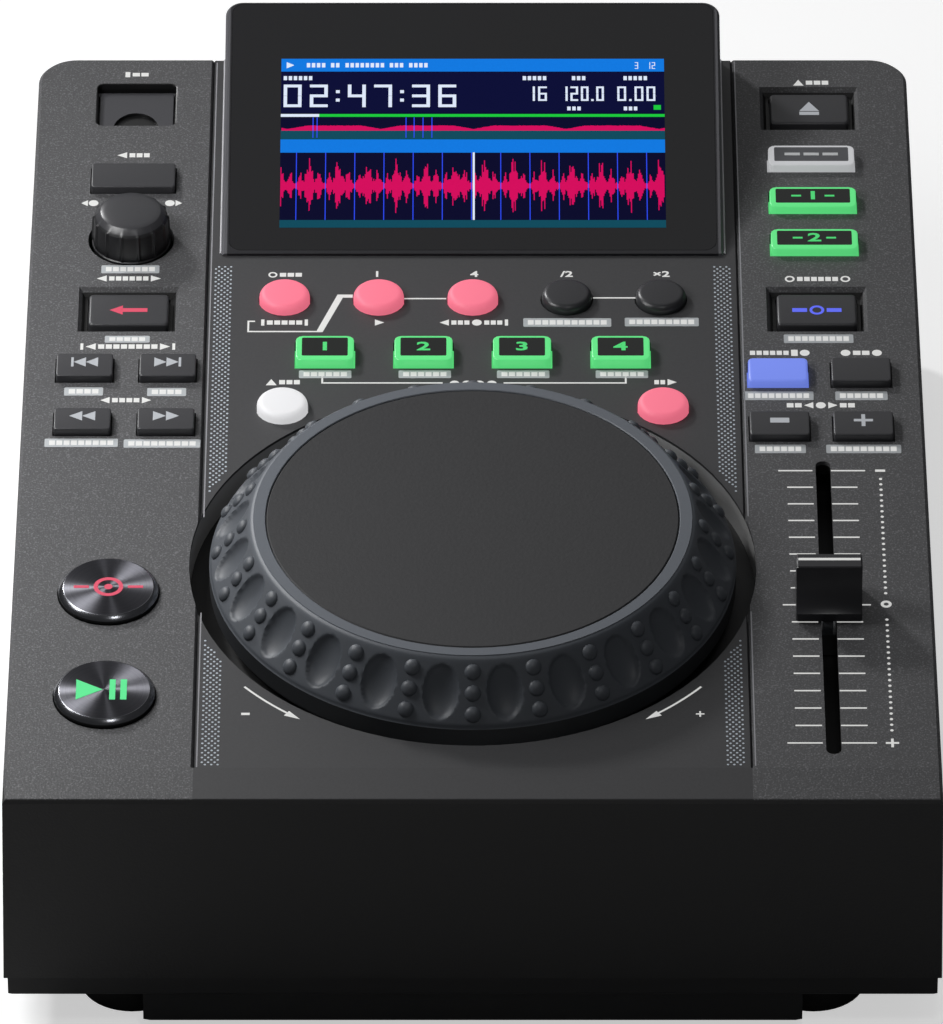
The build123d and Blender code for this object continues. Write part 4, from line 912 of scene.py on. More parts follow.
# The caps glow evenly through a soft gloss; the windows are nearly black and shine.
lit_green = moulded_plastic("key_lit_green_acrylic", "5fe183", 0.3, glow=0.75)
lit_grey = moulded_plastic("key_lit_grey_acrylic", "dcdde0", 0.35, glow=0.5)
window_black = moulded_plastic("key_window_black", "0d110e", 0.25, grain_mm=2, relief_mm=0.002)
window_dim = moulded_plastic("key_window_grey", "55565a", 0.3, grain_mm=2, relief_mm=0.002)
green_ink = screen_ink("window_green_ink", "48d674", glow=0.7)
pale_ink = screen_ink("window_pale_ink", "d0d2d4")
green_look = (lit_green, "green_plastic", window_black, green_ink)
grey_look = (lit_grey, "grey_plastic", window_dim, pale_ink)
window_keys = {
    "settings_key": (COLUMN_U, 246.0, 21.3, 8.3, "", grey_look),
    "usb_source_key": (COLUMN_U, 228.8, 21.3, 8.3, "1", green_look),
    "controller_key": (COLUMN_U, 211.6, 21.3, 8.3, "2", green_look),
}
for number in range(4):
    window_keys[f"hot_cue_{number + 1}_key"] = (
        (number - 1.5) * HOT_CUE_PITCH, HOT_CUE_F, 14.1, 9.7, str(number + 1), green_look
    )
for name, (u, f, width, depth, text, look) in window_keys.items():
    cap_finish, cap_slot, glass_finish, ink = look
    glass_w, glass_d = width - GLASS_SIDE, depth - GLASS_SHORT
    glass_f, glass_n = f + GLASS_SHORT / 2 - GLASS_BACK, KEY_RISE - GLASS_UNDER
    well = rounded(u, glass_f, glass_w, glass_d, GLASS_CORNER)
    levels = cap_levels(u, f, width, depth, KEY_RISE, WINDOW_CORNER, WINDOW_EDGE)
    levels += [at_height(well, n) for n in (KEY_RISE, KEY_RISE - WINDOW_DEEP)]
    cap = skin_levels(bmesh.new(), levels)
    make_piece(name + "_cap", cap, PANEL, cap_finish, name, [name])
    pane = rounded(u, glass_f, glass_w - GLASS_PLAY, glass_d - GLASS_PLAY, GLASS_CORNER)
    glass = skin_levels(bmesh.new(), [at_height(pane, n) for n in (KEY_RISE - WINDOW_DEEP + 0.01, glass_n)])
    make_piece(name + "_window", glass, PANEL, glass_finish, name)
    print_on = bmesh.new()
    if text:
        lettering(print_on, text, u, glass_f, glass_n, 3.2, 1.5)
        if width > WIDE_KEY:
            for side in (-1, 1):
                sign(print_on, "bar", u + side * SIDE_BAR_U, glass_f, glass_n, 2.4, 1.6)
    else:
        sign_row(print_on, [("bar", 3.8)] * 3, u, glass_f, glass_n, 2.8, 0.9)
    make_piece(name + "_sign", print_on, PANEL, ink, name)


# ---- Sunk keys ---------------------------------------------------------------------------
# Three larger keys of the same satin ABS lie flush in recesses with sloping walls. Two have
# a lit sign, red for direction and blue for the jog mode; the third the usual eject sign.
SUNK_W, SUNK_L = 19.5, 12.3
red_ink = screen_ink("sign_red_ink", "e04c68", glow=0.6)
blue_ink = screen_ink("sign_blue_ink", "5a66ee", glow=0.8)
sunk_keys = {
    "direction_key": (-COLUMN_U, 185.8, red_ink),
    "jog_mode_key": (COLUMN_U, 185.8, blue_ink),
    "eject_key": (COLUMN_U, 268.2, key_ink),
}
for name, (u, f, ink) in sunk_keys.items():
    cap = skin_levels(bmesh.new(), cap_levels(u, f, SUNK_W, SUNK_L, 0.0, SOFT_CORNER, SOFT_EDGE))
    make_piece(name + "_cap", cap, PANEL, key_abs, name, [name])
    print_on = bmesh.new()
    if name == "direction_key":
        sign_row(print_on, [("left", 3.2), ("bar", 6.4)], u, f - 0.4, 0, 3.6, -0.4)
    elif name == "jog_mode_key":
        sign_row(print_on, [("bar", 3.6), ("ring", 3.6), ("bar", 3.6)], u, f - 0.4, 0, 3.6)
    else:
        sign(print_on, "up", u, f + 0.8, 0, 4.9, 3.8)
        sign(print_on, "post", u, f - 2.1, 0, 4.9, 1.3)
    make_piece(name + "_sign", print_on, PANEL, ink, name)


# ---- Round keys --------------------------------------------------------------------------
# Seven round buttons of translucent silicone-coated ABS, domed a little at the rim: four
# lit pink, one lit white and two left black.
ROUND_R, ROUND_EDGE, LOOP_PITCH, LOOP_F, SHIFT_F = 6.15, 1.6, 22.95, 190.1, 147.0
# The coating is matt, so that the lit ones look even; the black ones keep a soft sheen.
lit_pink = moulded_plastic("button_lit_pink", "f7778f", 0.55, grain_mm=1, relief_mm=0.004, glow=0.72)
lit_white = moulded_plastic("button_lit_white", "f0f0f2", 0.5, grain_mm=1, relief_mm=0.004, glow=0.6)
round_black = moulded_plastic("button_black_abs", "2e2e31", 0.36, grain_mm=0.6, relief_mm=0.006)
round_keys = {
    "loop_auto_button": (-2 * LOOP_PITCH, LOOP_F, lit_pink, "pink_plastic"),
    "loop_in_button": (-LOOP_PITCH, LOOP_F, lit_pink, "pink_plastic"),
    "loop_out_button": (0, LOOP_F, lit_pink, "pink_plastic"),
    "loop_half_button": (LOOP_PITCH, LOOP_F, round_black, "key_plastic"),
    "loop_double_button": (2 * LOOP_PITCH, LOOP_F, round_black, "key_plastic"),
    "shift_button": (-2 * LOOP_PITCH, SHIFT_F, lit_white, "white_plastic"),
    "slip_button": (2 * LOOP_PITCH, SHIFT_F, lit_pink, "pink_plastic"),
}
for name, (u, f, finish, slot) in round_keys.items():
    levels = cap_levels(u, f, 2 * ROUND_R, 2 * ROUND_R, KEY_RISE, ROUND_R, ROUND_EDGE, steps=12)
    make_piece(name + "_cap", skin_levels(bmesh.new(), levels), PANEL, finish, name, [name])


# ---- Cue and play buttons ----------------------------------------------------------------
# Two large buttons with tops of spun black aluminium, which fan the light in a streak, and
# a bright turned bevel. Their signs glow red and green through the top.
BIG_R, BIG_U, CUE_F, PLAY_F = 11.85, -86.0, 75.3, 37.0
SPUN_MM, TOP_FACING, BEVEL_FACING = 0.35, 0.98, 0.3
big_signs = {
    "cue_button": (CUE_F, red_ink),
    "play_button": (PLAY_F, screen_ink("sign_green_ink", "52e68e", glow=0.65)),
}
bevel_metal = turned_metal("bevel_dark_aluminium", "8a8b90", 0.2, line_mm=0.3)
side_black = moulded_plastic("button_side_black_anodised", "0c0c0d", 0.3)
out_of_panel = PANEL.to_3x3().col[2].normalized()
for name, (f, ink) in big_signs.items():
    # Anodised aluminium with fine rings about the button's middle, coarse enough to show.
    spun, tree = new_material(name + "_spun_aluminium")
    place = add_node(tree, "ShaderNodeTexCoord").outputs["Object"]
    centred = add_node(
        tree, "ShaderNodeVectorMath", {0: place, 1: PANEL @ Vector((BIG_U, f, 0))}, operation="SUBTRACT"
    )
    axes = add_node(tree, "ShaderNodeSeparateXYZ", {0: centred.outputs[0]})
    along = add_node(tree, "ShaderNodeCombineXYZ", {0: axes.outputs["X"], 1: axes.outputs["Y"]})
    far = add_node(tree, "ShaderNodeVectorMath", {0: centred.outputs[0]}, operation="LENGTH")
    rings = add_node(
        tree, "ShaderNodeTexNoise",
        {"Scale": 1 / (SPUN_MM * MM), "W": far.outputs["Value"]}, noise_dimensions="1D",
    )
    tone = add_node(
        tree, "ShaderNodeMix",
        {0: rings.outputs["Fac"], 6: linear("5e5e64"), 7: linear("727278")}, data_type="RGBA",
    )
    skin = add_node(
        tree, "ShaderNodeBsdfPrincipled",
        {"Base Color": tone.outputs[2], "Metallic": 1.0, "Roughness": 0.46, "Anisotropic": 1.0,
         "Tangent": along.outputs[0]},
    )
    add_node(tree, "ShaderNodeOutputMaterial", {0: skin.outputs[0]})
    # The stem and flange of a key, then a straight side, the bevel and the flat top.
    levels = cap_levels(BIG_U, f, 2 * BIG_R, 2 * BIG_R, KEY_RISE, BIG_R, 0.9, steps=16)[:5]
    for drop, draw_in in ((1.1, 0), (1.0, 0.06), (0.04, 1.14), (0, 1.25)):
        radius = BIG_R - draw_in
        levels.append(at_height(rounded(BIG_U, f, 2 * radius, 2 * radius, radius, 16), KEY_RISE - drop))
    button = skin_levels(bmesh.new(), levels)
    piece = make_piece(name + "_cap", button, PANEL, spun, name, [name], sharp=25)
    piece.data.materials.append(bevel_metal)
    piece.data.materials.append(side_black)
    for face in piece.data.polygons:
        facing = face.normal.dot(out_of_panel)
        face.material_index = (facing <= TOP_FACING) + (facing <= BEVEL_FACING)
    print_on = bmesh.new()
    if name == "cue_button":
        ring_plate(print_on, BIG_U, f, KEY_RISE, 3.5, 2.5, 36)
        sign(print_on, "dot", BIG_U, f, KEY_RISE, 2.0, 2.0)
        for side in (-1, 1):
            sign(print_on, "post", BIG_U + side * 6.4, f, KEY_RISE, 3.6, 0.9)
    else:
        for kind, u, width in (("right", -89.5, 6.2), ("post", -84.1, 1.4), ("post", -81.5, 1.5)):
            sign(print_on, kind, u, f, KEY_RISE, width, 7.4)
    make_piece(name + "_sign", print_on, PANEL, ink, name)


# ---- Jog wheel ---------------------------------------------------------------------------
# The wheel is a satin grey ABS moulding with a conical skirt. Twenty-four thumb dimples are
# pressed into the skirt, with a row of three small domes between each two. A matt black
# touch plate lies in its top.
JOG = PANEL @ Matrix.Translation((0, JOG_F, 0))
RIM_R, RING_R, DISC_R, DISC_GAP = 62.4, 52.15, 48.75, 0.15
RING_N, SKIRT_N, STEP_N, RIM_END_N, SEAT_N = 14.2, 0.9, -4.6, -5.8, 12.3
HUB_R, HUB_N, BORE_R, WEB_R, WEB_N = 8.5, -7.9, 4.0, 46.0, 10.0
DIMPLES, DIMPLE_W, DIMPLE_L, DIMPLE_DEEP, DIMPLE_DOWN = 24, 8.4, 12.8, 1.9, 0.2
DOME_R, DOME_HIGH, DOME_SUNK, DOME_PITCH, DOME_DOWN = 1.95, 1.25, 0.1, 4.95, 0.3
PER_DIMPLE, SKIRT_STEPS = 36, 44
EDGE_SOFT, EDGE_REACH = 0.35, 0.9
skirt_run, skirt_drop = RIM_R - RING_R, RING_N - SKIRT_N
skirt_length = math.hypot(skirt_run, skirt_drop)
skirt_out = Vector((skirt_drop, skirt_run)).normalized()      # out of the skirt: radial, up
turns = [math.tau * k / (DIMPLES * PER_DIMPLE) for k in range(DIMPLES * PER_DIMPLE)]


def skirt_point(turn, down, out):
    """A point on the skirt: an angle round the wheel from its front, down the slope, out."""
    radius = RING_R + skirt_run * down / skirt_length + skirt_out.x * out
    n = RING_N - skirt_drop * down / skirt_length + skirt_out.y * out
    return radius * math.sin(turn), -radius * math.cos(turn), n


def wheel_ring(radius, n):
    """Points round the wheel from its front, at one radius and height."""
    return [(radius * math.sin(turn), -radius * math.cos(turn), n) for turn in turns]


def close_rings(bm, rings):
    """Skins a list of outlines into a ring; the last one joins the first."""
    loops = [[bm.verts.new(point) for point in ring] for ring in rings]
    count = len(loops[0])
    for low, high in zip(loops, loops[1:] + loops[:1]):
        for here in range(count):
            after = (here + 1) % count
            bm.faces.new((low[here], low[after], high[after], high[here]))
    return bm


# Up the inside of the wheel and round its rim, up the dimpled skirt, then in to the bore.
rings = [
    wheel_ring(radius, n) for radius, n in (
        (HUB_R, HUB_N), (HUB_R, WEB_N), (WEB_R, WEB_N), (RIM_R - 2.2, RIM_END_N), (RIM_R - 0.8, RIM_END_N),
        (RIM_R - 0.8, STEP_N), (RIM_R - 0.1, STEP_N), (RIM_R, STEP_N + 0.1), (RIM_R, SKIRT_N - 0.5),
    )
]
for step in range(SKIRT_STEPS, -1, -1):
    down = skirt_length * step / SKIRT_STEPS
    along = down - skirt_length / 2 - DIMPLE_DOWN
    edge = min(down, skirt_length - down)
    soften = EDGE_SOFT * (1 - min(edge / EDGE_REACH, 1)) ** 2
    row = []
    for turn in turns:
        middle = (math.floor(turn / (math.tau / DIMPLES)) + 0.5) * math.tau / DIMPLES
        across = (turn - middle) * (RING_R + skirt_run * down / skirt_length)
        inside = 1 - (2 * across / DIMPLE_W) ** 2 - (2 * along / DIMPLE_L) ** 2
        row.append(skirt_point(turn, down, -DIMPLE_DEEP * max(inside, 0) ** 0.55 - soften))
    rings.append(row)
rings += [
    wheel_ring(radius, n) for radius, n in (
        (RING_R - 0.35, RING_N), (DISC_R + 0.35, RING_N), (DISC_R + DISC_GAP, RING_N - 0.2),
        (DISC_R + DISC_GAP, SEAT_N), (BORE_R, SEAT_N), (BORE_R, HUB_N),
    )
]
# The wheel's satin catches light softly. Its top edge is painted a little paler than its
# skirt, as a painted highlight, and its rim is painted nearly black, as painted shade.
LIT_TOP_DEEP, LIT_TOP_PALER, RIM_SHADE_UNDER = 1.6, 1.5, 0.4
wheel_abs = moulded_plastic("wheel_satin_abs", "4f5359", 0.5, grain_mm=0.7, relief_mm=0.004, mottle=0.05)
foot_height = PANEL.translation.dot(out_of_panel)
tree = wheel_abs.node_tree
skin, mottled = tree.nodes["Principled BSDF"], tree.nodes["Mix"]
height = add_node(
    tree, "ShaderNodeVectorMath",
    {0: tree.nodes["Texture Coordinate"].outputs["Object"], 1: out_of_panel}, operation="DOT_PRODUCT",
)
# Paler towards the top edge: a painted highlight.
paler = add_node(
    tree, "ShaderNodeMapRange",
    {"Value": height.outputs["Value"], "From Min": foot_height + (RING_N - LIT_TOP_DEEP) * MM,
     "From Max": foot_height + RING_N * MM, "To Min": 1.0, "To Max": LIT_TOP_PALER},
)
scaled = add_node(
    tree, "ShaderNodeVectorMath",
    {0: mottled.outputs[2], "Scale": paler.outputs[0]}, operation="SCALE",
)
tree.links.new(scaled.outputs[0], skin.inputs["Base Color"])
wheel = close_rings(bmesh.new(), rings)
ring = make_piece("jog_wheel_ring", wheel, JOG, wheel_abs, "jog", ["jog_wheel"], sharp=38)
# The rim below the skirt takes a near-black painted shade.
ring.data.materials.append(moulded_plastic("wheel_rim_painted_shade", "303235", 0.5))
from_panel = JOG.inverted()
for face in ring.data.polygons:
    face.material_index = int((from_panel @ face.center).z < SKIRT_N - RIM_SHADE_UNDER)

dome = skin_levels(bmesh.new(), [
    circle(DOME_R * math.cos(a), DOME_HIGH * math.sin(a) - DOME_SUNK, 20)
    for a in (0.0, 0.25, 0.55, 0.85, 1.15, 1.4)
])
dome_seats = []
for k in range(DIMPLES):
    turn = k * math.tau / DIMPLES
    out = Vector((skirt_out.x * math.sin(turn), -skirt_out.x * math.cos(turn), skirt_out.y))
    lean = (Matrix.Rotation(PANEL_TILT, 3, "X") @ out).to_track_quat("Z", "Y").to_euler()
    for row in (-1, 0, 1):
        spot_on = JOG @ Vector(skirt_point(turn, skirt_length / 2 + row * DOME_PITCH + DOME_DOWN, 0))
        dome_seats.append((spot_on, tuple(lean), (1, 1, 1)))
sow("jog_domes", dome, dome_seats, wheel_abs, "jog", sharp=60)

# The plate's vinyl is dull, with a coarse pebbled skin.
plate_vinyl = moulded_plastic(
    "touch_plate_matt_vinyl", "28282a", 0.6, grain_mm=0.8, relief_mm=0.05, mottle=0.25
)
disc = skin_levels(bmesh.new(), [
    circle(radius, n, 160)
    for radius, n in ((DISC_R, SEAT_N), (DISC_R, RING_N - 0.35), (DISC_R - 0.3, RING_N - 0.05))
])
make_piece("touch_plate", disc, JOG, plate_vinyl, "jog", ["jog_disc"])
spindle_steel = turned_metal("spindle_steel", "8d8f92", 0.3)
dress(spindle_steel, "jog_spindle", "encoder_shaft", "encoder_plunger", "fader_lever")
dress(moulded_plastic("bush_white_acetal", "d8d6cc", 0.4), "jog_bush")
dress(cover_abs, "jog_well", "jog_sensor")


# ---- Tempo fader -------------------------------------------------------------------------
# The cap is satin black ABS with hollowed slopes to take a fingertip and a white line
# across its crest; it is pushed onto a steel lever in the slot.
FADER_F, CAP_W, CAP_L, CAP_TOP, CAP_FOOT = 70.8, 15.5, 13.6, 13.6, 0.6
CREST, CREST_EDGE, SKIRT_UP, HOLLOW_STEPS = 2.3, 0.3, 2.2, 8
END_IN, END_RUN, END_SLOPE = 0.5, 0.35, 0.6
LINE_F, LINE_HALF_L, LINE_HALF_W = FADER_F + 0.4, 7.3, 0.42
fader_abs = moulded_plastic("fader_black_abs", "2b2b2e", 0.32, grain_mm=0.5, relief_mm=0.004)
foot = CAP_FOOT + SKIRT_UP
half_section = [(CAP_L / 2, CAP_FOOT), (CAP_L / 2, foot)]
for step in range(1, HOLLOW_STEPS + 1):
    t = step / (HOLLOW_STEPS + 1)
    half_section.append((
        CAP_L / 2 + (CREST + CREST_EDGE - CAP_L / 2) * (1 - (1 - t) ** 1.7),
        foot + (CAP_TOP - CREST_EDGE - foot) * t ** 1.25,
    ))
half_section += [(CREST + 0.25, CAP_TOP - CREST_EDGE), (CREST, CAP_TOP)]
section = half_section + [(-y, n) for y, n in reversed(half_section)]
cap = skin_levels(bmesh.new(), [
    [
        (COLUMN_U + x, FADER_F + y * (1 - draw_in / CAP_L), min(n, CAP_TOP - draw_in * END_SLOPE))
        for y, n in section
    ]
    for x, draw_in in (
        (-CAP_W / 2, END_IN), (-CAP_W / 2 + END_RUN, 0), (CAP_W / 2 - END_RUN, 0), (CAP_W / 2, END_IN),
    )
])
make_piece("fader_cap_body", cap, PANEL, fader_abs, "fader", ["fader_cap"], sharp=30)
line = bmesh.new()
plate(line, oblong(
    COLUMN_U - LINE_HALF_L, LINE_F - LINE_HALF_W, COLUMN_U + LINE_HALF_L, LINE_F + LINE_HALF_W
), CAP_TOP)
make_piece("fader_line", line, PANEL, white_ink, "fader")
dress(moulded_plastic("fader_case_black_zinc", "0e0e0f", 0.6), "fader_body")


# ---- Browse knob -------------------------------------------------------------------------
# A soft-touch black knob on a push encoder: round skirt, fourteen narrow ribs up its side
# and a smooth low crown.
KNOB_F, KNOB_R, KNOB_SIDE_R, KNOB_TOP, KNOB_FOOT = 213.9, 9.9, 9.05, 9.5, -1.0
RIBS, RIB_HIGH, RIB_FLANK, RIB_POINTS, CROWN_N = 14, 0.4, 0.55, 14, 7.6
KNOB = PANEL @ Matrix.Translation((-COLUMN_U, KNOB_F, 0))
# The soft-touch coat is dull at the side; the crown, with a finer skin, is painted a paler
# grey as a painted sheen.
soft_touch = moulded_plastic("knob_soft_touch", "1f1f21", 0.4, grain_mm=0.5, relief_mm=0.004)
crown_painted_sheen = moulded_plastic("knob_crown_painted_sheen", "38383b", 0.33, grain_mm=0.5, relief_mm=0.003)
levels = []
for n, radius, ribbed in (
    (KNOB_FOOT, KNOB_R - 0.3, 0), (-0.2, KNOB_R - 0.3, 0), (0.0, KNOB_SIDE_R + 0.3, 0),
    (0.3, KNOB_SIDE_R + 0.28, 1), (6.9, KNOB_SIDE_R, 1), (7.3, KNOB_SIDE_R - 0.25, 1),
    (CROWN_N, KNOB_SIDE_R - 0.5, 0), (8.75, KNOB_SIDE_R - 1.55, 0), (8.9, KNOB_SIDE_R - 1.8, 0),
    (9.15, KNOB_SIDE_R - 3.0, 0), (9.4, KNOB_SIDE_R - 5.2, 0), (KNOB_TOP, 0.6, 0),
):
    loop = []
    for k in range(RIBS * RIB_POINTS):
        turn = math.tau * k / (RIBS * RIB_POINTS)
        off = abs((k + RIB_POINTS // 2) % RIB_POINTS - RIB_POINTS // 2)
        r = radius + ribbed * RIB_HIGH * {0: 1.0, 1: RIB_FLANK}.get(off, 0.0)
        loop.append((r * math.cos(turn), r * math.sin(turn), n))
    levels.append(loop)
knob = skin_levels(bmesh.new(), levels)
crown = make_piece(
    "browse_knob_cap", knob, KNOB, soft_touch, "browse_knob", ["browse_knob"], sharp=28
)
crown.data.materials.append(crown_painted_sheen)
# Faces above the crown's edge take the painted sheen.
from_panel = KNOB.inverted()
for face in crown.data.polygons:
    face.material_index = int((from_panel @ face.center).z > CROWN_N)
dress(turned_metal("encoder_can", "9a9a98", 0.4), "encoder_body")


# ---- Memory-stick bay --------------------------------------------------------------------
# A hinged charcoal ABS flap covers a socket in a small bay with round corners and a black
# edge of painted shade in the gap round the flap; a half-round notch takes the fingernail
# that lifts it.
BAY_F, BAY_W, BAY_L, BAY_CORNER, BAY_DEEP = 269.8, 20.2, 17.8, 2.0, 0.9
HOLE_W, HOLE_L, EDGE_IN_W, EDGE_IN_L, EDGE_IN_CORNER = 21.36, 19.26, 19.2, 17.1, 0.9
FLAP_F, FLAP_W, FLAP_L, FLAP_TOP, FLAP_FOOT, FLAP_CORNER = 269.2, 18.5, 15.2, -1.9, -3.5, 0.9
HINGE_F, HINGE_N, HINGE_R, HINGE_HALF = 276.9, -2.7, 0.8, 10.4
NOTCH_W, NOTCH_L, NOTCH_N = 5.8, 7.2, -2.8


def bay_outline(width, length, corner):
    """A rectangle with round corners about the middle of the bay."""
    return rounded(-COLUMN_U, BAY_F, width, length, corner, 6)


hole, mouth = bay_outline(HOLE_W, HOLE_L, 0.02), bay_outline(BAY_W, BAY_L, BAY_CORNER)
bay_corners = close_rings(bmesh.new(), [
    at_height(outline, n)
    for outline, n in ((hole, -BAY_DEEP), (hole, 0.008), (mouth, 0.008), (mouth, -BAY_DEEP))
])
make_piece("bay_round_corners", bay_corners, PANEL, case_abs, "case")
bay_edge = close_rings(bmesh.new(), [
    at_height(bay_outline(width, length, corner), n)
    for width, length, corner, n in (
        (BAY_W - 0.02, BAY_L - 0.02, BAY_CORNER, -BAY_DEEP),
        (BAY_W - 0.02, BAY_L - 0.02, BAY_CORNER, -0.05),
        (BAY_W - 0.5, BAY_L - 0.4, BAY_CORNER - 0.3, -0.15),
        (EDGE_IN_W, EDGE_IN_L, EDGE_IN_CORNER, -BAY_DEEP), (EDGE_IN_W, EDGE_IN_L, EDGE_IN_CORNER, -1.8),
    )
])
# Black painted shade for the bay's edge and the flap's underside.
bay_shade_paint = moulded_plastic("bay_black_painted_shade", "121213", 0.4)
make_piece("bay_black_edge", bay_edge, PANEL, bay_shade_paint, "case")

# The flap is a plate, a notched plate over it and a hinge rod. It is a little paler than
# the keys; its underside is painted black as painted shade, which shows in the notch.
flap_abs = moulded_plastic("flap_charcoal_abs", "404044", 0.4, grain_mm=0.5, relief_mm=0.01)
outline = rounded(-COLUMN_U, FLAP_F, FLAP_W, FLAP_L, FLAP_CORNER)
slim = rounded(-COLUMN_U, FLAP_F, FLAP_W - 0.3, FLAP_L - 0.3, FLAP_CORNER - 0.1)
flap = skin_levels(bmesh.new(), [at_height(outline, n) for n in (FLAP_FOOT, NOTCH_N)])
notch = [
    (-COLUMN_U + NOTCH_W * math.cos(a), FLAP_F - FLAP_L / 2 + NOTCH_L * math.sin(a))
    for a in (math.pi * (1 - k / 16) for k in range(17))
]
left_side = len(outline) * 3 // 4
skin_levels(flap, [
    at_height(points[:left_side] + notch + points[left_side:], n)
    for points, n in ((outline, NOTCH_N - 0.01), (outline, FLAP_TOP - 0.15), (slim, FLAP_TOP))
])
skin_levels(flap, [
    [(-COLUMN_U + u, HINGE_F + y, HINGE_N + z) for y, z, _ in circle(HINGE_R, 0, 20)]
    for u in (-HINGE_HALF, HINGE_HALF)
])
door = make_piece("usb_flap", flap, PANEL, flap_abs, "usb_door", ["usb_door"])
door.data.materials.append(bay_shade_paint)
from_panel = PANEL.inverted()
for face in door.data.polygons:
    face.material_index = int((from_panel @ face.center).z < FLAP_TOP - 0.4)
dress(turned_metal("socket_tin_plate", "a5a7aa", 0.3), "usb_socket", "usb_b_port")


# ---- Rear sockets ------------------------------------------------------------------------
# A mains inlet with three pins, a rocker switch, a square computer socket and a pair of
# nickel-plated phono jacks with a white and a red collar. All sit in openings of the rear wall.
REAR_Y, REAR_Z = 140.5, 42.0
REAR = (
    Matrix.Translation((0, REAR_Y * MM, REAR_Z * MM)) @ Matrix.Rotation(math.pi, 4, "Z")
    @ Matrix.Rotation(math.pi / 2, 4, "X") @ Matrix.Scale(MM, 4)
)
COLLAR_R, COLLAR_IN, COLLAR_FROM, COLLAR_TO = 5.6, 4.3, 0.85, 2.0
ROCKER_X, ROCKER_FACE, ON_OFF_APART = -40.0, 4.15, 4.3
# Dull black nylon, and bright plated pins and jacks.
socket_black = moulded_plastic("socket_black_nylon", "131314", 0.5)
dress(socket_black, "power_inlet", "switch_frame", "power_rocker")
dress(turned_metal("pin_nickel_brass", "c9b98a", 0.25), "inlet_pins")
dress(turned_metal("jack_nickel", "c4c6c8", 0.2), "line_jacks")
for name, x, finish in (
    ("white_jack_collar", 74.5, moulded_plastic("collar_white_nylon", "e8e8e4", 0.4)),
    ("red_jack_collar", 57.5, moulded_plastic("collar_red_nylon", "c01824", 0.4)),
):
    collar = close_rings(bmesh.new(), [
        [(x + px, py, n) for px, py, _ in circle(radius, 0, 40)]
        for radius, n in (
            (COLLAR_IN, COLLAR_FROM), (COLLAR_R, COLLAR_FROM), (COLLAR_R, COLLAR_TO - 0.4),
            (COLLAR_R - 0.4, COLLAR_TO), (COLLAR_IN, COLLAR_TO),
        )
    ])
    make_piece(name, collar, REAR, finish, "case")
rocker_signs = bmesh.new()
plate(rocker_signs, rounded(ROCKER_X, ON_OFF_APART, 0.5, 3.0, 0.2), ROCKER_FACE)
ring_plate(rocker_signs, ROCKER_X, -ON_OFF_APART, ROCKER_FACE, 1.5, 1.05)
make_piece("rocker_signs", rocker_signs, REAR, white_ink, "power_rocker")


# ---- Inside ------------------------------------------------------------------------------
# Green glass-fibre boards with the keys' black switches soldered on, seen only when the
# case is open. The copper under the glossy lacquer shows as blocks of two greens.
BOARD_SCALE = 120.0                  # makes a block 4.2 mm long
board_green, tree = new_material("board_green_lacquer")
place = add_node(tree, "ShaderNodeTexCoord").outputs["Object"]
tracks = add_node(
    tree, "ShaderNodeTexBrick",
    {"Vector": place, "Scale": BOARD_SCALE, "Color1": linear("14522c"), "Color2": linear("1a6236"),
     "Mortar": linear("0d3a1e")},
)
skin = add_node(tree, "ShaderNodeBsdfPrincipled", {"Base Color": tracks.outputs["Color"], "Roughness": 0.3})
add_node(tree, "ShaderNodeOutputMaterial", {0: skin.outputs[0]})
dress(board_green, "key_boards", "main_board", "power_supply")
dress(socket_black, "key_switches")


# ---- Studio ------------------------------------------------------------------------------
# A plain pale floor in a dim even room. A lamp high behind on the left gives the shadows,
# two small ones near the left side and the front lift them, and a wide soft one behind
# shows in the gloss.
VIEW_DOWN = math.radians(34.9)
VIEW_FAR, VIEW_F, VIEW_U = 2724.0, 106.2, -0.3
LENS_MM, SENSOR_MM = 402.0, 36.0
FLOOR_HALF, FLOOR_Z, FLOOR_GLOW = 6, -0.0002, 0.55
ROOM_LIGHT = 0.06


def backdrop(name, hex_colour):
    """Plain white to the camera, where it also takes the object's shadow; paint to all else."""
    material, tree = new_material(name)
    path = add_node(tree, "ShaderNodeLightPath")
    paint = add_node(tree, "ShaderNodeBsdfDiffuse", {"Color": linear(hex_colour)})
    glow = add_node(tree, "ShaderNodeEmission", {"Color": (1, 1, 1, 1), "Strength": FLOOR_GLOW})
    both = add_node(tree, "ShaderNodeAddShader", {0: paint.outputs[0], 1: glow.outputs[0]})
    seen = add_node(
        tree, "ShaderNodeMixShader",
        {0: path.outputs["Is Camera Ray"], 1: paint.outputs[0], 2: both.outputs[0]},
    )
    add_node(tree, "ShaderNodeOutputMaterial", {0: seen.outputs[0]})
    return material


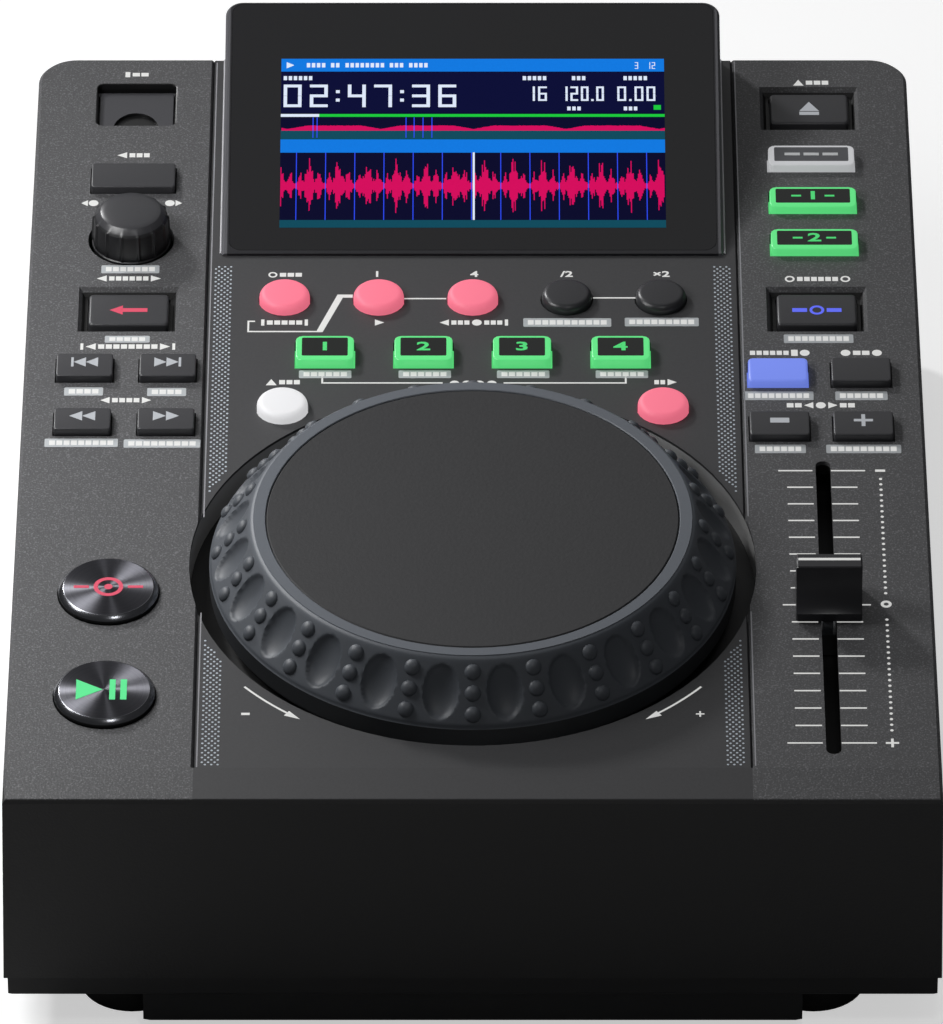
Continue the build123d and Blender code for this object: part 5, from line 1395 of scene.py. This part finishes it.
floor_mesh = bpy.data.meshes.new("floor")
floor_corners = at_height(oblong(-FLOOR_HALF, -FLOOR_HALF, FLOOR_HALF, FLOOR_HALF), FLOOR_Z)
floor_mesh.from_pydata(floor_corners, [], [(0, 1, 2, 3)])
floor_mesh.materials.append(backdrop("floor_pale", "d9d9d9"))
floor = bpy.data.objects.new("floor", floor_mesh)
bpy.context.scene.collection.objects.link(floor)

room = bpy.data.worlds.new("pale_room")
bpy.context.scene.world = room
room.use_nodes = True
tree = room.node_tree
tree.nodes.clear()
path = add_node(tree, "ShaderNodeLightPath")
soft = add_node(tree, "ShaderNodeBackground", {"Color": (0.95, 0.97, 1, 1), "Strength": ROOM_LIGHT})
white = add_node(tree, "ShaderNodeBackground", {"Color": (1, 1, 1, 1), "Strength": 1.0})
mixed = add_node(
    tree, "ShaderNodeMixShader",
    {0: path.outputs["Is Camera Ray"], 1: soft.outputs[0], 2: white.outputs[0]},
)
add_node(tree, "ShaderNodeOutputWorld", {0: mixed.outputs[0]})


def lamp(name, place, aim, size, power):
    """A square soft lamp at a place, turned to a point."""
    data = bpy.data.lights.new(name, "AREA")
    data.size, data.energy = size, power
    made = bpy.data.objects.new(name, data)
    made.location = place
    made.rotation_euler = (Vector(place) - Vector(aim)).to_track_quat("Z", "Y").to_euler()
    bpy.context.scene.collection.objects.link(made)


# Places in metres and power in watts.
lamp("key_lamp", (-0.76, 0.94, 0.8), (0, 0, 0.07), 0.15, 8.8)
lamp("left_fill", (-0.22, -0.02, 0.29), (0, 0, 0.07), 0.13, 0.6)
lamp("front_fill", (0.1, -0.62, 1.0), (0, 0, 0.05), 0.14, 0.8)
lamp("back_wall", (0, 0.95, 1.2), (0, 0, 0.05), 1.6, 2.6)

# A long lens far away in front and above, where upright lines stay nearly parallel.
camera_data = bpy.data.cameras.new("camera")
camera_data.lens, camera_data.sensor_width = LENS_MM, SENSOR_MM
camera_data.clip_start, camera_data.clip_end = 0.1, 20
camera = bpy.data.objects.new("camera", camera_data)
target = PANEL @ Vector((VIEW_U, VIEW_F, 0))
camera.location = target + VIEW_FAR * MM * Vector((0, -math.cos(VIEW_DOWN), math.sin(VIEW_DOWN)))
camera.rotation_euler = (math.pi / 2 - VIEW_DOWN, 0, 0)
bpy.context.scene.collection.objects.link(camera)
bpy.context.scene.camera = camera
bpy.context.scene.view_settings.view_transform = "Standard"
